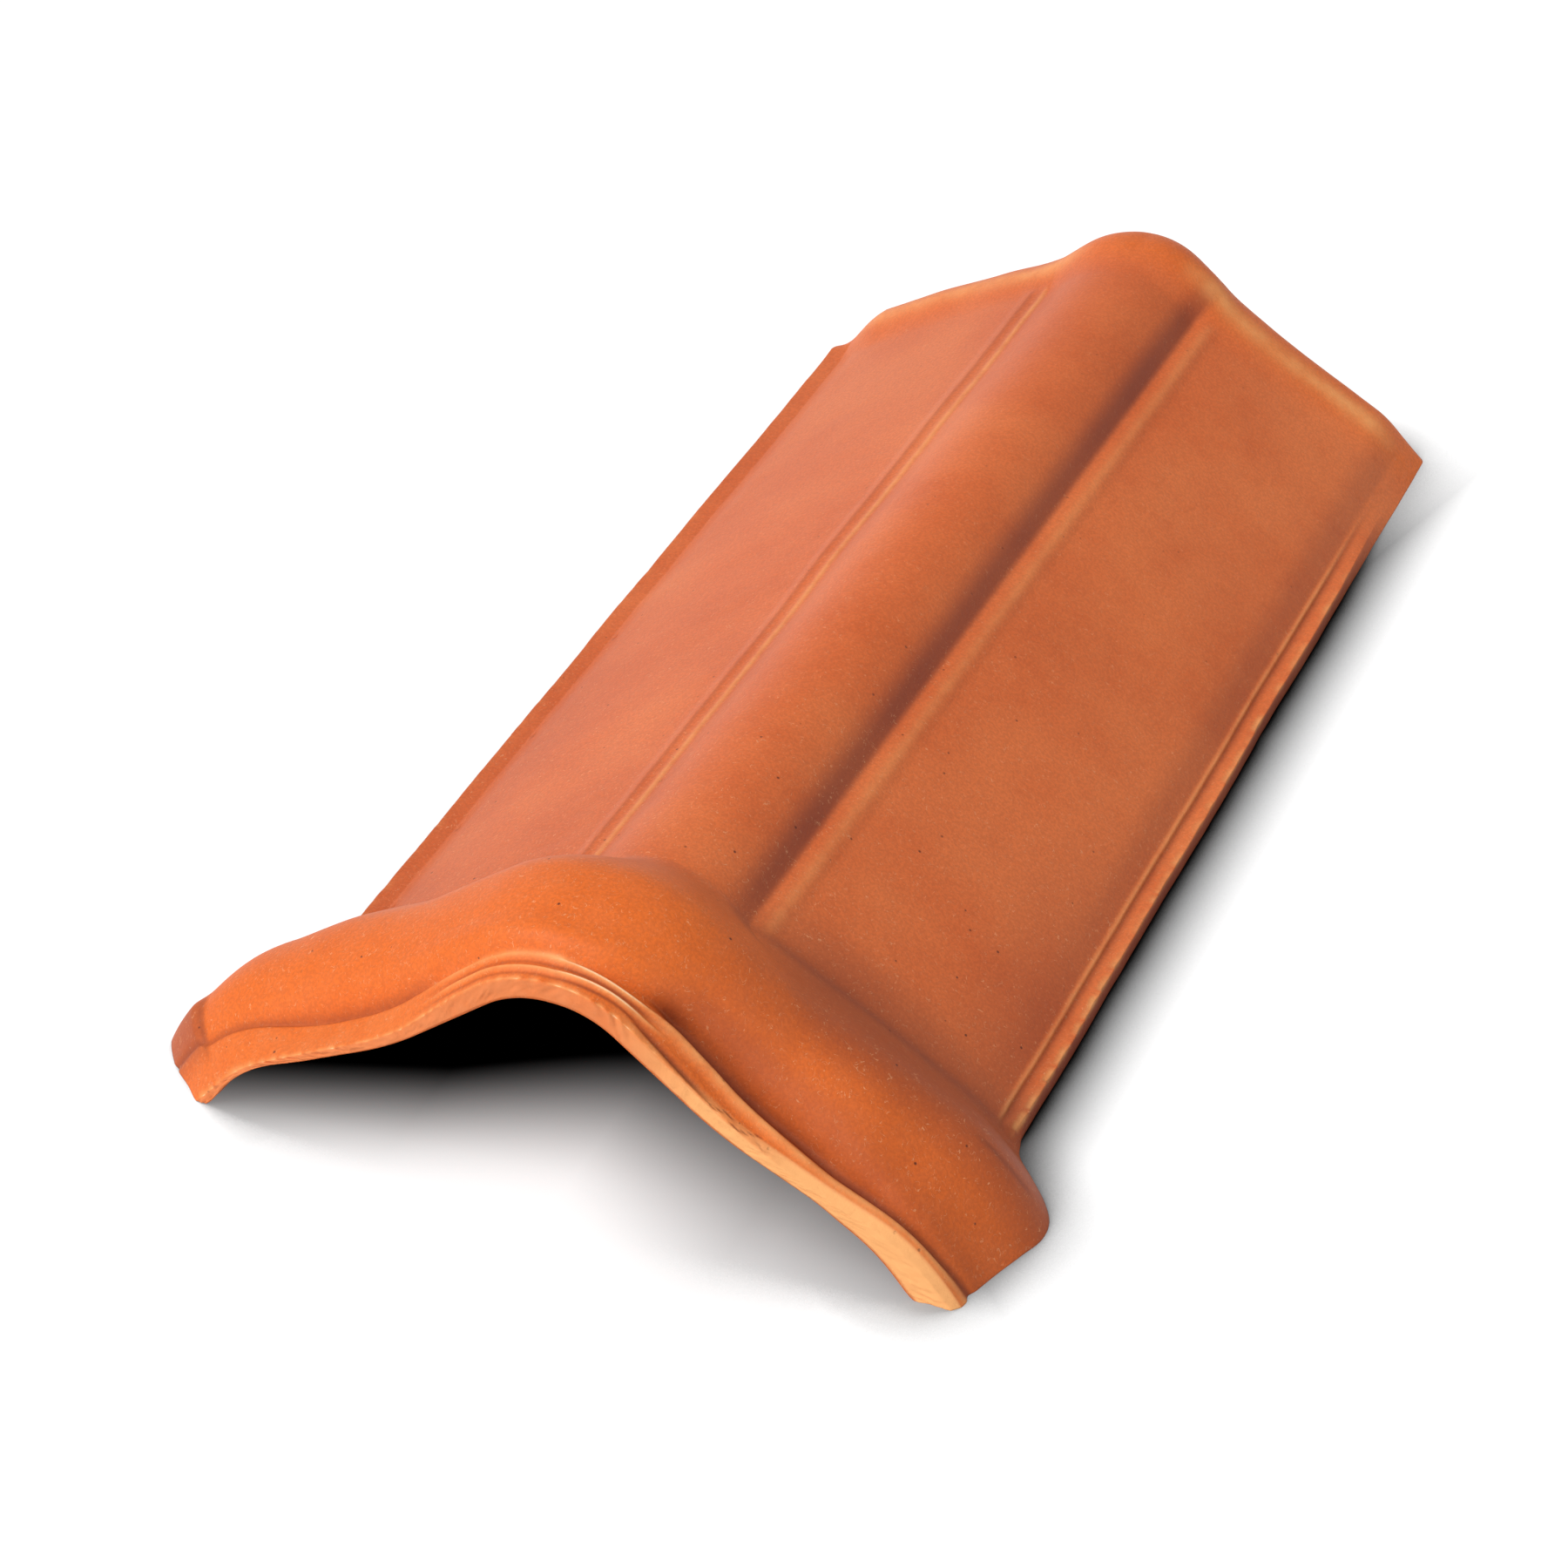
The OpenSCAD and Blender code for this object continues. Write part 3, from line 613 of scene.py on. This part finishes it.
def innerHalf(y, share, side):
    # hollow's half section: crown arc, valley fillet and a straight wing, pushed out under the collar,
    # read at given shares of its length
    y = y[:, None]
    flank, slope, skirt, valleyX, valleyZ, flankRun = sectionAngles(y)
    radius = tile["crownRadius"] - tile["wall"]
    centre = crownTop(y) - tile["crownRadius"]
    foot = halfWidth(y) - tile["footWidth"]
    mid = (flank + slope) / 2
    drop = tile["wall"] / np.cos((flank - slope) / 2)
    valleyX, valleyZ = valleyX - drop * np.sin(mid), valleyZ - drop * np.cos(mid)
    wing = np.arctan2(valleyZ, foot - valleyX)
    fill = valleyFill(y) + tile["wall"]
    cut = fill * np.tan((flank - wing) / 2)
    u = np.linspace(0, 1, fineness["hollowSteps"])[None]
    onCrown, onValley = flank * u, lerp(flank, wing, u)
    flankEnd = (valleyX - cut * np.cos(flank), valleyZ + cut * np.sin(flank))
    wingStart = (valleyX + cut * np.cos(wing), valleyZ - cut * np.sin(wing))
    x = [radius * np.sin(onCrown), flankEnd[0] + fill * (np.sin(flank) - np.sin(onValley)),
         lerp(wingStart[0], foot, u)[:, 1:]]
    z = [centre + radius * np.cos(onCrown), flankEnd[1] + fill * (np.cos(flank) - np.cos(onValley)),
         lerp(wingStart[1], 0, u)[:, 1:]]
    x, z = np.concatenate(x, 1), np.concatenate(z, 1)
    turn = lerp(wing, np.pi / 2, ramp(u, *bodyRelief["hollowTurn"]))
    push = np.concatenate([onCrown, onValley, turn[:, 1:]], 1)
    run, q = runAlong(x, z)
    atFoot = ramp(q, *bodyRelief["hollowFootRamp"]) * (1 - ramp(y, *bodyRelief["hollowFootEnd"]))
    rise = hollowRise(y, q) + bodyRelief["hollowFoot"][side] * atFoot
    x, z = x + rise * np.sin(push), z + rise * np.cos(push)
    xs = np.stack([np.interp(s, k, v) for s, k, v in zip(share, q, x)])
    zs = np.stack([np.interp(s, k, v) for s, k, v in zip(share, q, z)])
    return np.stack([side * xs + lean(y, share), y - tile["length"] / 2 + 0 * xs, np.maximum(zs, 0)], -1)


def bothHalves(y, share):
    # the hollow from the left foot to the right one
    return np.concatenate([innerHalf(y, share, -1)[:, :0:-1], innerHalf(y, share, 1)], 1)


def gridFaces(index):
    # two triangles for each cell of a grid of vertex numbers
    a, b, c, d = index[:-1, :-1], index[:-1, 1:], index[1:, 1:], index[1:, :-1]
    return np.concatenate([np.stack([a, b, c], -1).reshape(-1, 3), np.stack([a, c, d], -1).reshape(-1, 3)])


def stitch(first, firstAt, second, secondAt):
    # a strip of triangles between two lines of vertices: each step goes on along the line that is behind
    at = np.concatenate([firstAt[1:], secondAt[1:]])
    isFirst = np.concatenate([np.ones(len(first) - 1, bool), np.zeros(len(second) - 1, bool)])
    isFirst = isFirst[np.argsort(at, kind="stable")]
    i = np.cumsum(isFirst) - isFirst
    j = np.cumsum(~isFirst) - ~isFirst
    nextFirst = first[np.minimum(i + 1, len(first) - 1)]
    nextSecond = second[np.minimum(j + 1, len(second) - 1)]
    return np.stack([first[i], np.where(isFirst, nextFirst, nextSecond), second[j]], -1)


def rowPlaces():
    # places along the tile: finest at the lip, closer near the collar than far from it, and close beside
    # each pit
    n, crowding, pits = fineness["rows"], fineness["crowding"], bodyRelief["pits"]
    lipEnd = lipRelief["depth"][0]
    bodyFirst = tile["collarLength"] + fineness["overlap"]
    bodyLast = tile["length"] - tile["beadLength"] - fineness["overlap"]
    body = crowd(np.linspace(0, 1, n["body"] + 1)[1:], *crowding["body"])
    rows = np.concatenate([
        lipEnd * crowd(np.linspace(0, 1, n["lip"]), *crowding["lip"]),
        np.linspace(lipEnd, bodyFirst, n["collar"] + 1)[1:],
        lerp(bodyFirst, bodyLast, body),
        lerp(bodyLast, tile["length"], np.sin(np.pi / 2 * np.linspace(0, 1, n["bead"] + 1)[1:])),
    ])
    clear = np.abs(np.subtract.outer(rows, pits)).min(1) > fineness["pitClear"]
    return np.sort(np.concatenate([rows[clear], np.add.outer(pits, fineness["pitRows"]).ravel()]))


def buildTile():
    # outer half sections joined at the crown, the hollow, the cut faces and the strips that close them below
    y = rowPlaces()
    rightHalf, q, marksRight = outerHalf(y, 1)
    leftHalf, q, marksLeft = outerHalf(y, -1)
    outer = np.concatenate([leftHalf[:, :0:-1], rightHalf], 1)
    marks = [np.concatenate([a[:, :0:-1], b], 1) for a, b in zip(marksLeft, marksRight)]
    wearAndHighlight, paintedShade, cut, arc, paintedBroadShade = marks
    across = np.concatenate([-q[:, :0:-1], q], 1)

    # hollow: fine near each end, where it meets the cut faces, coarse between
    nearEnd = np.array(fineness["hollowEnds"])
    farEnd = tile["length"] - nearEnd[::-1]
    mouthHollow = bothHalves(nearEnd, np.repeat(q[:1], len(nearEnd), 0))
    backHollow = bothHalves(farEnd, np.repeat(q[-1:], len(farEnd), 0))
    t = crowd(np.linspace(0, 1, fineness["hollowRows"]), *fineness["crowding"]["hollow"])
    coarseY = lerp(fineness["hollowMargin"], tile["length"] - fineness["hollowMargin"], t)
    coarseQ = np.linspace(0, 1, fineness["hollowStations"])
    coarse = bothHalves(coarseY, np.repeat(coarseQ[None], len(coarseY), 0))
    coarseAcross = np.concatenate([-coarseQ[:0:-1], coarseQ])

    # cut faces: straight rows from the outer edge to the hollow, the mouth's roughened a little
    caps = fineness["capRows"]
    k = np.linspace(0, 1, caps + 2)[1:-1, None, None]
    mouth = lerp(outer[0][None], mouthHollow[0][None], k)
    back = lerp(outer[-1][None], backHollow[-1][None], k)
    for depth, stretch, size, seed in bodyRelief["mouthRough"]:
        mouth[..., 1] += depth * waves(arc[:1], stretch * k[..., 0], size, seed) * np.sin(np.pi * k[..., 0])

    parts = [outer, mouth, back, mouthHollow, coarse, backHollow]
    starts = np.cumsum([0] + [p.shape[0] * p.shape[1] for p in parts])
    index = [s + np.arange(p.shape[0] * p.shape[1]).reshape(p.shape[:2]) for s, p in zip(starts, parts)]
    iOuter, iMouth, iBack, iMouthHollow, iCoarse, iBackHollow = index
    vertices = np.concatenate([p.reshape(-1, 3) for p in parts]) * 0.001

    mouthGrid = np.concatenate([iMouthHollow[:1], iMouth[::-1], iOuter[:1]])
    backGrid = np.concatenate([iOuter[-1:], iBack, iBackHollow[-1:]])
    faces = [
        gridFaces(iOuter), gridFaces(mouthGrid), gridFaces(backGrid),
        gridFaces(iMouthHollow[::-1]), gridFaces(iCoarse[::-1]), gridFaces(iBackHollow[::-1]),
        stitch(iCoarse[0], coarseAcross, iMouthHollow[-1], across[0]),
        stitch(iBackHollow[0], across[-1], iCoarse[-1], coarseAcross),
    ]
    # bedding strips: the cut faces' edge vertices come before and after the long edges
    rowAt = np.concatenate([np.arange(-caps - 1.0, 0), y[1:], tile["length"] + np.arange(1.0, caps + 1)])
    hollowAt = np.concatenate([[-caps - 3.0, -caps - 2.0], nearEnd[2:], coarseY, farEnd[:2],
                               [tile["length"] + caps + 2.0]])
    for side in (0, -1):
        hollowLine = np.concatenate([iMouthHollow[:, side], iCoarse[:, side], iBackHollow[:, side]])
        outerLine = np.concatenate([iMouth[::-1, side], iOuter[:, side], iBack[:, side]])
        if side == 0:
            faces.append(stitch(outerLine, rowAt, hollowLine, hollowAt))
        else:
            faces.append(stitch(hollowLine, hollowAt, outerLine, rowAt))
    faces = np.concatenate(faces).astype(np.int32)

    # marks for the material, blank in the hollow: wear with painted highlights, painted shade, broad painted
    # shade and cut clay; the back face counts as a less fresh cut than the mouth
    mouthRow, backRow = np.ones(mouth.shape[:2]), np.ones(back.shape[:2])
    inside = [np.zeros(p.shape[:2]) for p in (mouthHollow, coarse, backHollow)]
    blank = [0 * mouthRow, 0 * backRow] + inside
    fields = {
        "wearAndHighlight": [wearAndHighlight] + blank, "paintedShade": [paintedShade] + blank, "paintedBroadShade": [paintedBroadShade] + blank,
        "cut": [cut, mouthRow, 0.7 * backRow] + inside,
        "runAcross": [arc, arc[:1] * mouthRow, arc[-1:] * backRow] + inside,
    }
    return vertices, faces, {name: np.concatenate([p.ravel() for p in v]) for name, v in fields.items()}


def makeMesh(name, vertices, faces, fields):
    # smooth triangles with one number a point for each mark
    mesh = bpy.data.meshes.new(name)
    mesh.vertices.add(len(vertices))
    mesh.vertices.foreach_set("co", vertices.astype(np.float32).ravel())
    mesh.loops.add(faces.size)
    mesh.loops.foreach_set("vertex_index", faces.ravel())
    mesh.polygons.add(len(faces))
    mesh.polygons.foreach_set("loop_start", np.arange(0, faces.size, 3, dtype=np.int32))
    mesh.polygons.foreach_set("use_smooth", np.ones(len(faces), bool))
    mesh.update(calc_edges=True)
    for field, values in fields.items():
        layer = mesh.attributes.new(field, "FLOAT", "POINT")
        layer.data.foreach_set("value", values.astype(np.float32))
    return mesh


vertices, faces, fields = buildTile()
clay = bpy.data.objects.new("ridgeTileClay", makeMesh("ridgeTileClay", vertices, faces, fields))
bpy.context.scene.collection.objects.link(clay)
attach(clay, "root")
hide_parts("ridge_tile")
print("tile surface:", len(vertices), "vertices,", len(faces), "triangles")


def srgb(code):
    # sRGB hex to linear colour
    v = np.array([int(code[i:i + 2], 16) for i in (1, 3, 5)]) / 255
    v = np.where(v <= 0.04045, v / 12.92, ((v + 0.055) / 1.055) ** 2.4)
    return (*v.tolist(), 1.0)


def addNode(tree, kind, inputs=None, out=0, **settings):
    # one node with its settings and links; an input is a plain value or another node's output
    node = tree.nodes.new(kind)
    for name, value in settings.items():
        setattr(node, name, value)
    for name, value in (inputs or {}).items():
        if isinstance(value, bpy.types.NodeSocket):
            tree.links.new(value, node.inputs[name])
        else:
            node.inputs[name].default_value = value
    return node.outputs[out] if len(node.outputs) else node


# inputs of a Map Range node, in the order of the ranges below
rangeInputs = ("Value", "From Min", "From Max", "To Min", "To Max")

# colours, and pattern sizes in millimetres; places along the tile are in metres
clayLook = {
    # the pale worn colour also paints highlights, the whitish last colour is a painted highlight that also
    # whitens the raw ragged edge, and the two dark browns after the cut colours serve for painted shade, the
    # first also for dark grain
    "deep": "#D36430", "mid": "#DA6B36", "light": "#E2763F", "collar": "#E86E20", "paleWearAndHighlight": "#F4AC6A",
    "cutOrange": "#E08450", "cutPeach": "#F3B070", "shade": "#7A3623", "paintedBroadShade": "#843E2C",
    "pore": "#54261A", "fleck": "#F8BE8C", "highlightAndRawEdge": "#FFDCB4",
    # size, detail, roughness and twist of each noise
    "noise": {"blotch": (60.0, 2.0, 0.5, 0.0), "mottle": (7.0, 5.0, 0.65, 0.0), "grain": (0.9, 3.0, 0.6, 0.0),
              "curl": (2.7, 1.0, 0.4, 1.6), "spots": (1.7, 1.0, 0.5, 0.0)},
    # flecks and pinholes: how they thin out along the tile, the band of noise and the spots that make a
    # fleck, a pinhole's cell, radius, soft edge and the cells that have one
    "thinOut": (-0.15, 0.12, 1.0, 0.3), "fleckBand": (0.5, 0.012), "fleckSpots": (0.52, 0.60),
    "poreCell": 6.0, "poreRadius": 0.4, "poreEdge": (1.25, 0.7), "poreCells": (0.56, 0.60), "striation": 1.1,
    # each tint in turn: what drives it, its range, the strengths at both ends, the mark that limits it and
    # its colour
    "tints": (
        ("blotch", 0.36, 0.50, 0.0, 1.0, None, "mid"),
        ("blotch", 0.50, 0.66, 0.0, 1.0, None, "light"),
        ("along", -0.150, -0.178, 0.0, 0.8, None, "collar"),
        # painted highlight: a brighter orange over the end bead
        ("along", 0.202, 0.212, 0.0, 0.7, None, "collar"),
        ("mottle", 0.42, 0.62, 0.0, 0.25, None, "light"),
        ("mottle", 0.46, 0.30, 0.0, 0.30, None, "deep"),
        ("grain", 0.62, 0.40, 0.0, 0.20, None, "shade"),
        # broad painted shade in a darker, greyer clay colour, mostly on the right half
        ("blotch", 0.30, 0.60, 1.0, 0.8, "paintedBroadShade", "paintedBroadShade"),
        ("fleck", 0.0, 1.0, 0.0, 0.36, None, "fleck"),
        ("pore", 0.0, 1.0, 0.0, 0.85, None, "pore"),
        # pale colour of worn clay, also painting highlights on crests and edges
        ("mottle", 0.30, 0.58, 0.55, 1.0, "wearAndHighlight", "paleWearAndHighlight"),
        # whitish painted highlight on the ribs' crests, which also whitens the raw ragged edge
        ("wearAndHighlight", 0.70, 1.00, 0.0, 0.7, None, "highlightAndRawEdge"),
        # painted shade in grooves, creases, cracks and pits and on the trimmed face
        ("mottle", 0.30, 0.70, 0.85, 0.7, "paintedShade", "shade"),
        ("mottle", 0.38, 0.60, 0.7, 0.9, "cut", "cutOrange"),
        ("runAcross", 10.0, 45.0, 0.0, 0.9, "cut", "cutPeach"),
    ),
    "bump": (("grain", 0.55), ("mottle", 0.6), ("fleck", 0.22), ("pore", -0.9), ("cutScratch", 0.5)),
    "bumpStrength": 0.55, "bumpHeight": 0.4,
    "roughness": 0.52, "cutRoughness": 0.8, "ior": 1.5, "specular": 0.22,
}


def firedTerracotta():
    # pressed and fired terracotta under a thin slip: matt orange-red with slow tone changes, a fine grain,
    # pinholes, pale hair-like flecks and a soft sheen; raw, paler and rougher where it was cut or chipped;
    # painted highlights and painted shade follow the marks on the mesh
    look = clayLook
    material = bpy.data.materials.new("firedTerracotta")
    material.use_nodes = True
    tree = material.node_tree
    tree.nodes.clear()
    place = addNode(tree, "ShaderNodeTexCoord", out="Object")
    drive = {"along": addNode(tree, "ShaderNodeSeparateXYZ", {0: place}, out="Y")}
    for name, (size, detail, rough, twist) in look["noise"].items():
        pattern = {"Scale": 1000 / size, "Detail": detail, "Roughness": rough, "Distortion": twist}
        drive[name] = addNode(tree, "ShaderNodeTexNoise", {"Vector": place, **pattern})
    for name in ("wearAndHighlight", "paintedShade", "paintedBroadShade", "cut", "runAcross"):
        drive[name] = addNode(tree, "ShaderNodeAttribute", out="Fac", attribute_name=name)

    # flecks and pinholes are plain to see on the collar and few at the plain end
    thinOut = dict(zip(rangeInputs, (drive["along"], *look["thinOut"])))
    nearer = addNode(tree, "ShaderNodeMapRange", thinOut)
    # hair-like flecks: thin bands of a twisted noise, kept only in scattered spots
    middle, width = look["fleckBand"]
    band = addNode(tree, "ShaderNodeMath", {0: drive["curl"], 1: middle, 2: width}, operation="COMPARE")
    spots = dict(zip(rangeInputs, (drive["spots"], *look["fleckSpots"])))
    kept = addNode(tree, "ShaderNodeMapRange", spots)
    fleck = addNode(tree, "ShaderNodeMath", {0: band, 1: kept}, operation="MULTIPLY")
    drive["fleck"] = addNode(tree, "ShaderNodeMath", {0: fleck, 1: nearer}, operation="MULTIPLY")

    # pinholes: small discs in about a third of the cells
    cellScale = {"Vector": place, "Scale": 1000 / look["poreCell"]}
    radius = look["poreRadius"] / look["poreCell"]
    apart = addNode(tree, "ShaderNodeTexVoronoi", cellScale, out="Distance")
    cell = addNode(tree, "ShaderNodeTexVoronoi", cellScale, out="Color")
    edge = dict(zip(rangeInputs, (apart, *(radius * k for k in look["poreEdge"]))))
    disc = addNode(tree, "ShaderNodeMapRange", edge)
    pick = addNode(tree, "ShaderNodeMapRange", dict(zip(rangeInputs, (cell, *look["poreCells"]))))
    pore = addNode(tree, "ShaderNodeMath", {0: disc, 1: pick}, operation="MULTIPLY")
    drive["pore"] = addNode(tree, "ShaderNodeMath", {0: pore, 1: nearer}, operation="MULTIPLY")

    # fine scratches across the cut faces, which follow the section
    run = addNode(tree, "ShaderNodeCombineXYZ", {0: drive["runAcross"]})
    scratch = addNode(tree, "ShaderNodeTexNoise", {"Vector": run, "Scale": 1 / look["striation"]})
    drive["cutScratch"] = addNode(tree, "ShaderNodeMath", {0: scratch, 1: drive["cut"]}, operation="MULTIPLY")

    colour = srgb(look["deep"])
    for source, low, high, weak, strong, mark, tint in look["tints"]:
        strength = dict(zip(rangeInputs, (drive[source], low, high, weak, strong)))
        amount = addNode(tree, "ShaderNodeMapRange", strength)
        if mark:
            amount = addNode(tree, "ShaderNodeMath", {0: amount, 1: drive[mark]}, operation="MULTIPLY")
        layers = {0: amount, 6: colour, 7: srgb(look[tint])}
        colour = addNode(tree, "ShaderNodeMix", layers, out=2, data_type="RGBA")
    height = 0.0
    for source, share in look["bump"]:
        terms = {0: drive[source], 1: share, 2: height}
        height = addNode(tree, "ShaderNodeMath", terms, operation="MULTIPLY_ADD")
    bump = addNode(tree, "ShaderNodeBump", {"Strength": look["bumpStrength"], "Height": height,
                                            "Distance": look["bumpHeight"] / 1000})
    rough = addNode(tree, "ShaderNodeMapRange", {"Value": drive["cut"], "To Min": look["roughness"],
                                                 "To Max": look["cutRoughness"]})
    shader = addNode(tree, "ShaderNodeBsdfPrincipled", {
        "Base Color": colour, "Roughness": rough, "Normal": bump,
        "IOR": look["ior"], "Specular IOR Level": look["specular"],
    })
    addNode(tree, "ShaderNodeOutputMaterial", {0: shader})
    return material


clay.data.materials.append(firedTerracotta())
print("terracotta made")

# studio, in metres: floor colours, light strengths, and the direction towards each sun with its strength and
# softness in degrees; the softbox is place, width, height and power. Shades are reach, samples and the open
# shares that come out black and white. Each fade goes from dark to clear between two places, slant turns the
# right one with the foot, and spread is how much further out the mouth's shade reaches beside its legs, past
# a middle rounded by the second value. mouthDark and mouthClear are two places across and the limit at each
studio = {
    "floor": "#E2E2E2", "floorSize": 14.0, "world": 0.48, "glow": 0.72, "diffuse": 0.36,
    "shades": ((0.25, 8, 0.50, 0.75), (0.02, 8, 0.60, 1.0)), "slant": 0.0105, "spread": (0.37, 0.02),
    "mouthDark": (-0.05, 0.06, -0.164, -0.130), "mouthClear": (0.0, 0.05, -0.2215, -0.257),
    "leftSide": (-0.050, -0.100), "rightSide": (0.0935, 0.1250),
    "farEnd": (0.12, 0.245), "nearEnd": (-0.190, -0.225),
    "suns": {"keySun": ((-0.40, -0.50, 0.77), 1.95, 40.0), "frontSun": ((-0.30, -0.90, 0.32), 0.8, 50.0)},
    "softbox": ((-1.25, 1.25, 0.35), 1.3, 0.7, 2.5),
}


def paleFloor():
    # plain pale floor; the camera sees it as white, darker only under the tile and close beside it
    material = bpy.data.materials.new("paleStudioFloor")
    material.use_nodes = True
    tree = material.node_tree
    tree.nodes.clear()
    seen = addNode(tree, "ShaderNodeLightPath", out="Is Camera Ray")
    for name in ("Is Glossy Ray", "Is Transmission Ray"):
        other = addNode(tree, "ShaderNodeLightPath", out=name)
        seen = addNode(tree, "ShaderNodeMath", {0: seen, 1: other}, operation="MAXIMUM")
    floorPlace = addNode(tree, "ShaderNodeTexCoord", out="Object")
    across = addNode(tree, "ShaderNodeSeparateXYZ", {0: floorPlace}, out="X")
    along = addNode(tree, "ShaderNodeSeparateXYZ", {0: floorPlace}, out="Y")

    # where each fade is measured: the mouth's along an arch, the right side's along a slant
    spread, rounded = studio["spread"]
    aside = addNode(tree, "ShaderNodeMath", {0: across, 1: across, 2: rounded ** 2}, operation="MULTIPLY_ADD")
    aside = addNode(tree, "ShaderNodeMath", {0: aside}, operation="SQRT")
    arched = addNode(tree, "ShaderNodeMath", {0: aside, 1: spread, 2: along}, operation="MULTIPLY_ADD")
    turned = {0: along, 1: studio["slant"], 2: across}
    slanted = addNode(tree, "ShaderNodeMath", turned, operation="MULTIPLY_ADD")
    limits = {side: studio[side] for side in ("leftSide", "rightSide", "farEnd", "nearEnd")}
    limits["mouth"] = []
    for edge in ("mouthDark", "mouthClear"):
        values = dict(zip(rangeInputs, (across, *studio[edge])))
        limits["mouth"].append(addNode(tree, "ShaderNodeMapRange", values))
    places = {"mouth": arched, "leftSide": across, "rightSide": slanted, "farEnd": along, "nearEnd": along}
    fade = {}
    for side, place in places.items():
        values = dict(zip(rangeInputs, (place, *limits[side])))
        fade[side] = addNode(tree, "ShaderNodeMapRange", values, interpolation_type="SMOOTHSTEP")

    # painted shade on the floor: wide shade all round, close shade except on the left, a painted soft shadow
    # along the right side; all of it fades out in front of the mouth
    shade = []
    for reach, samples, low, high in studio["shades"]:
        clear = addNode(tree, "ShaderNodeAmbientOcclusion", {"Distance": reach}, out="AO", samples=samples)
        shade.append(addNode(tree, "ShaderNodeMapRange", dict(zip(rangeInputs, (clear, low, high)))))
    close = addNode(tree, "ShaderNodeMath", {0: shade[1], 1: fade["leftSide"]}, operation="MAXIMUM")
    beside = fade["rightSide"]
    for side in ("leftSide", "farEnd", "nearEnd"):
        beside = addNode(tree, "ShaderNodeMath", {0: beside, 1: fade[side]}, operation="MAXIMUM")
    tone = shade[0]
    for other in (close, beside):
        tone = addNode(tree, "ShaderNodeMath", {0: tone, 1: other}, operation="MULTIPLY")
    tone = addNode(tree, "ShaderNodeMath", {0: tone, 1: fade["mouth"]}, operation="MAXIMUM")
    lit = addNode(tree, "ShaderNodeMath", {0: tone, 1: studio["diffuse"]}, operation="MULTIPLY")
    glow = addNode(tree, "ShaderNodeMath", {0: tone, 1: studio["glow"]}, operation="MULTIPLY")
    lit = addNode(tree, "ShaderNodeBsdfDiffuse", {"Color": lit})
    glow = addNode(tree, "ShaderNodeEmission", {"Color": glow, "Strength": 1.0})
    white = addNode(tree, "ShaderNodeAddShader", {0: lit, 1: glow})
    plain = addNode(tree, "ShaderNodeBsdfDiffuse", {"Color": srgb(studio["floor"])})
    surface = addNode(tree, "ShaderNodeMixShader", {0: seen, 1: plain, 2: white})
    addNode(tree, "ShaderNodeOutputMaterial", {0: surface})
    return material


half = studio["floorSize"] / 2
corners = [(-half, -half, 0), (half, -half, 0), (half, half, 0), (-half, half, 0)]
floorMesh = bpy.data.meshes.new("studioFloor")
floorMesh.from_pydata(corners, [], [(0, 1, 2, 3)])
floorMesh.materials.append(paleFloor())
studioFloor = bpy.data.objects.new("studioFloor", floorMesh)
bpy.context.scene.collection.objects.link(studioFloor)

for name, (towards, strength, softness) in studio["suns"].items():
    lamp = bpy.data.lights.new(name, "SUN")
    lamp.energy, lamp.angle = strength, np.radians(softness)
    sun = bpy.data.objects.new(name, lamp)
    sun.rotation_euler = Vector(towards).to_track_quat("Z", "Y").to_euler()
    bpy.context.scene.collection.objects.link(sun)

boxPlace, boxWidth, boxHeight, boxPower = studio["softbox"]
lamp = bpy.data.lights.new("backSoftbox", "AREA")
lamp.shape, lamp.size, lamp.size_y, lamp.energy = "RECTANGLE", boxWidth, boxHeight, boxPower
softbox = bpy.data.objects.new("backSoftbox", lamp)
softbox.location = boxPlace
softbox.rotation_euler = Vector(boxPlace).to_track_quat("Z", "Y").to_euler()
bpy.context.scene.collection.objects.link(softbox)

world = bpy.data.worlds.new("studioWorld")
world.use_nodes = True
world.node_tree.nodes["Background"].inputs[0].default_value = (1, 1, 1, 1)
world.node_tree.nodes["Background"].inputs[1].default_value = studio["world"]
bpy.context.scene.world = world
bpy.context.scene.view_settings.view_transform = "Standard"
print("studio lit")

# camera fitted to the photograph: angles in degrees, lengths in millimetres, picture scale in pixels, clip
# in metres
cameraFit = {"azimuth": 23.119, "elevation": 34.924, "distance": 1471.5, "pixelsPerMm": 3.88,
             "target": (-24.377, -16.0, -7.699), "picture": 1800, "sensor": 36.0, "clip": (0.05, 50.0)}


def aimCamera():
    # looks along forward from a point that lies distance behind the target; the lens gives the picture scale
    # there
    az, el = np.radians([cameraFit["azimuth"], cameraFit["elevation"]])
    forward = Vector((-np.cos(el) * np.sin(az), np.cos(el) * np.cos(az), -np.sin(el)))
    right = Vector((np.cos(az), np.sin(az), 0))
    up = right.cross(forward)
    data = bpy.data.cameras.new("photoCamera")
    data.sensor_width = data.sensor_height = cameraFit["sensor"]
    data.lens = cameraFit["pixelsPerMm"] * cameraFit["distance"] / cameraFit["picture"] * cameraFit["sensor"]
    data.clip_start, data.clip_end = cameraFit["clip"]
    camera = bpy.data.objects.new("photoCamera", data)
    place = Vector(cameraFit["target"]) * 0.001 - forward * cameraFit["distance"] * 0.001
    rows = [(right[k], up[k], -forward[k], place[k]) for k in range(3)]
    camera.matrix_world = Matrix((*rows, (0, 0, 0, 1)))
    bpy.context.scene.collection.objects.link(camera)
    bpy.context.scene.camera = camera


aimCamera()
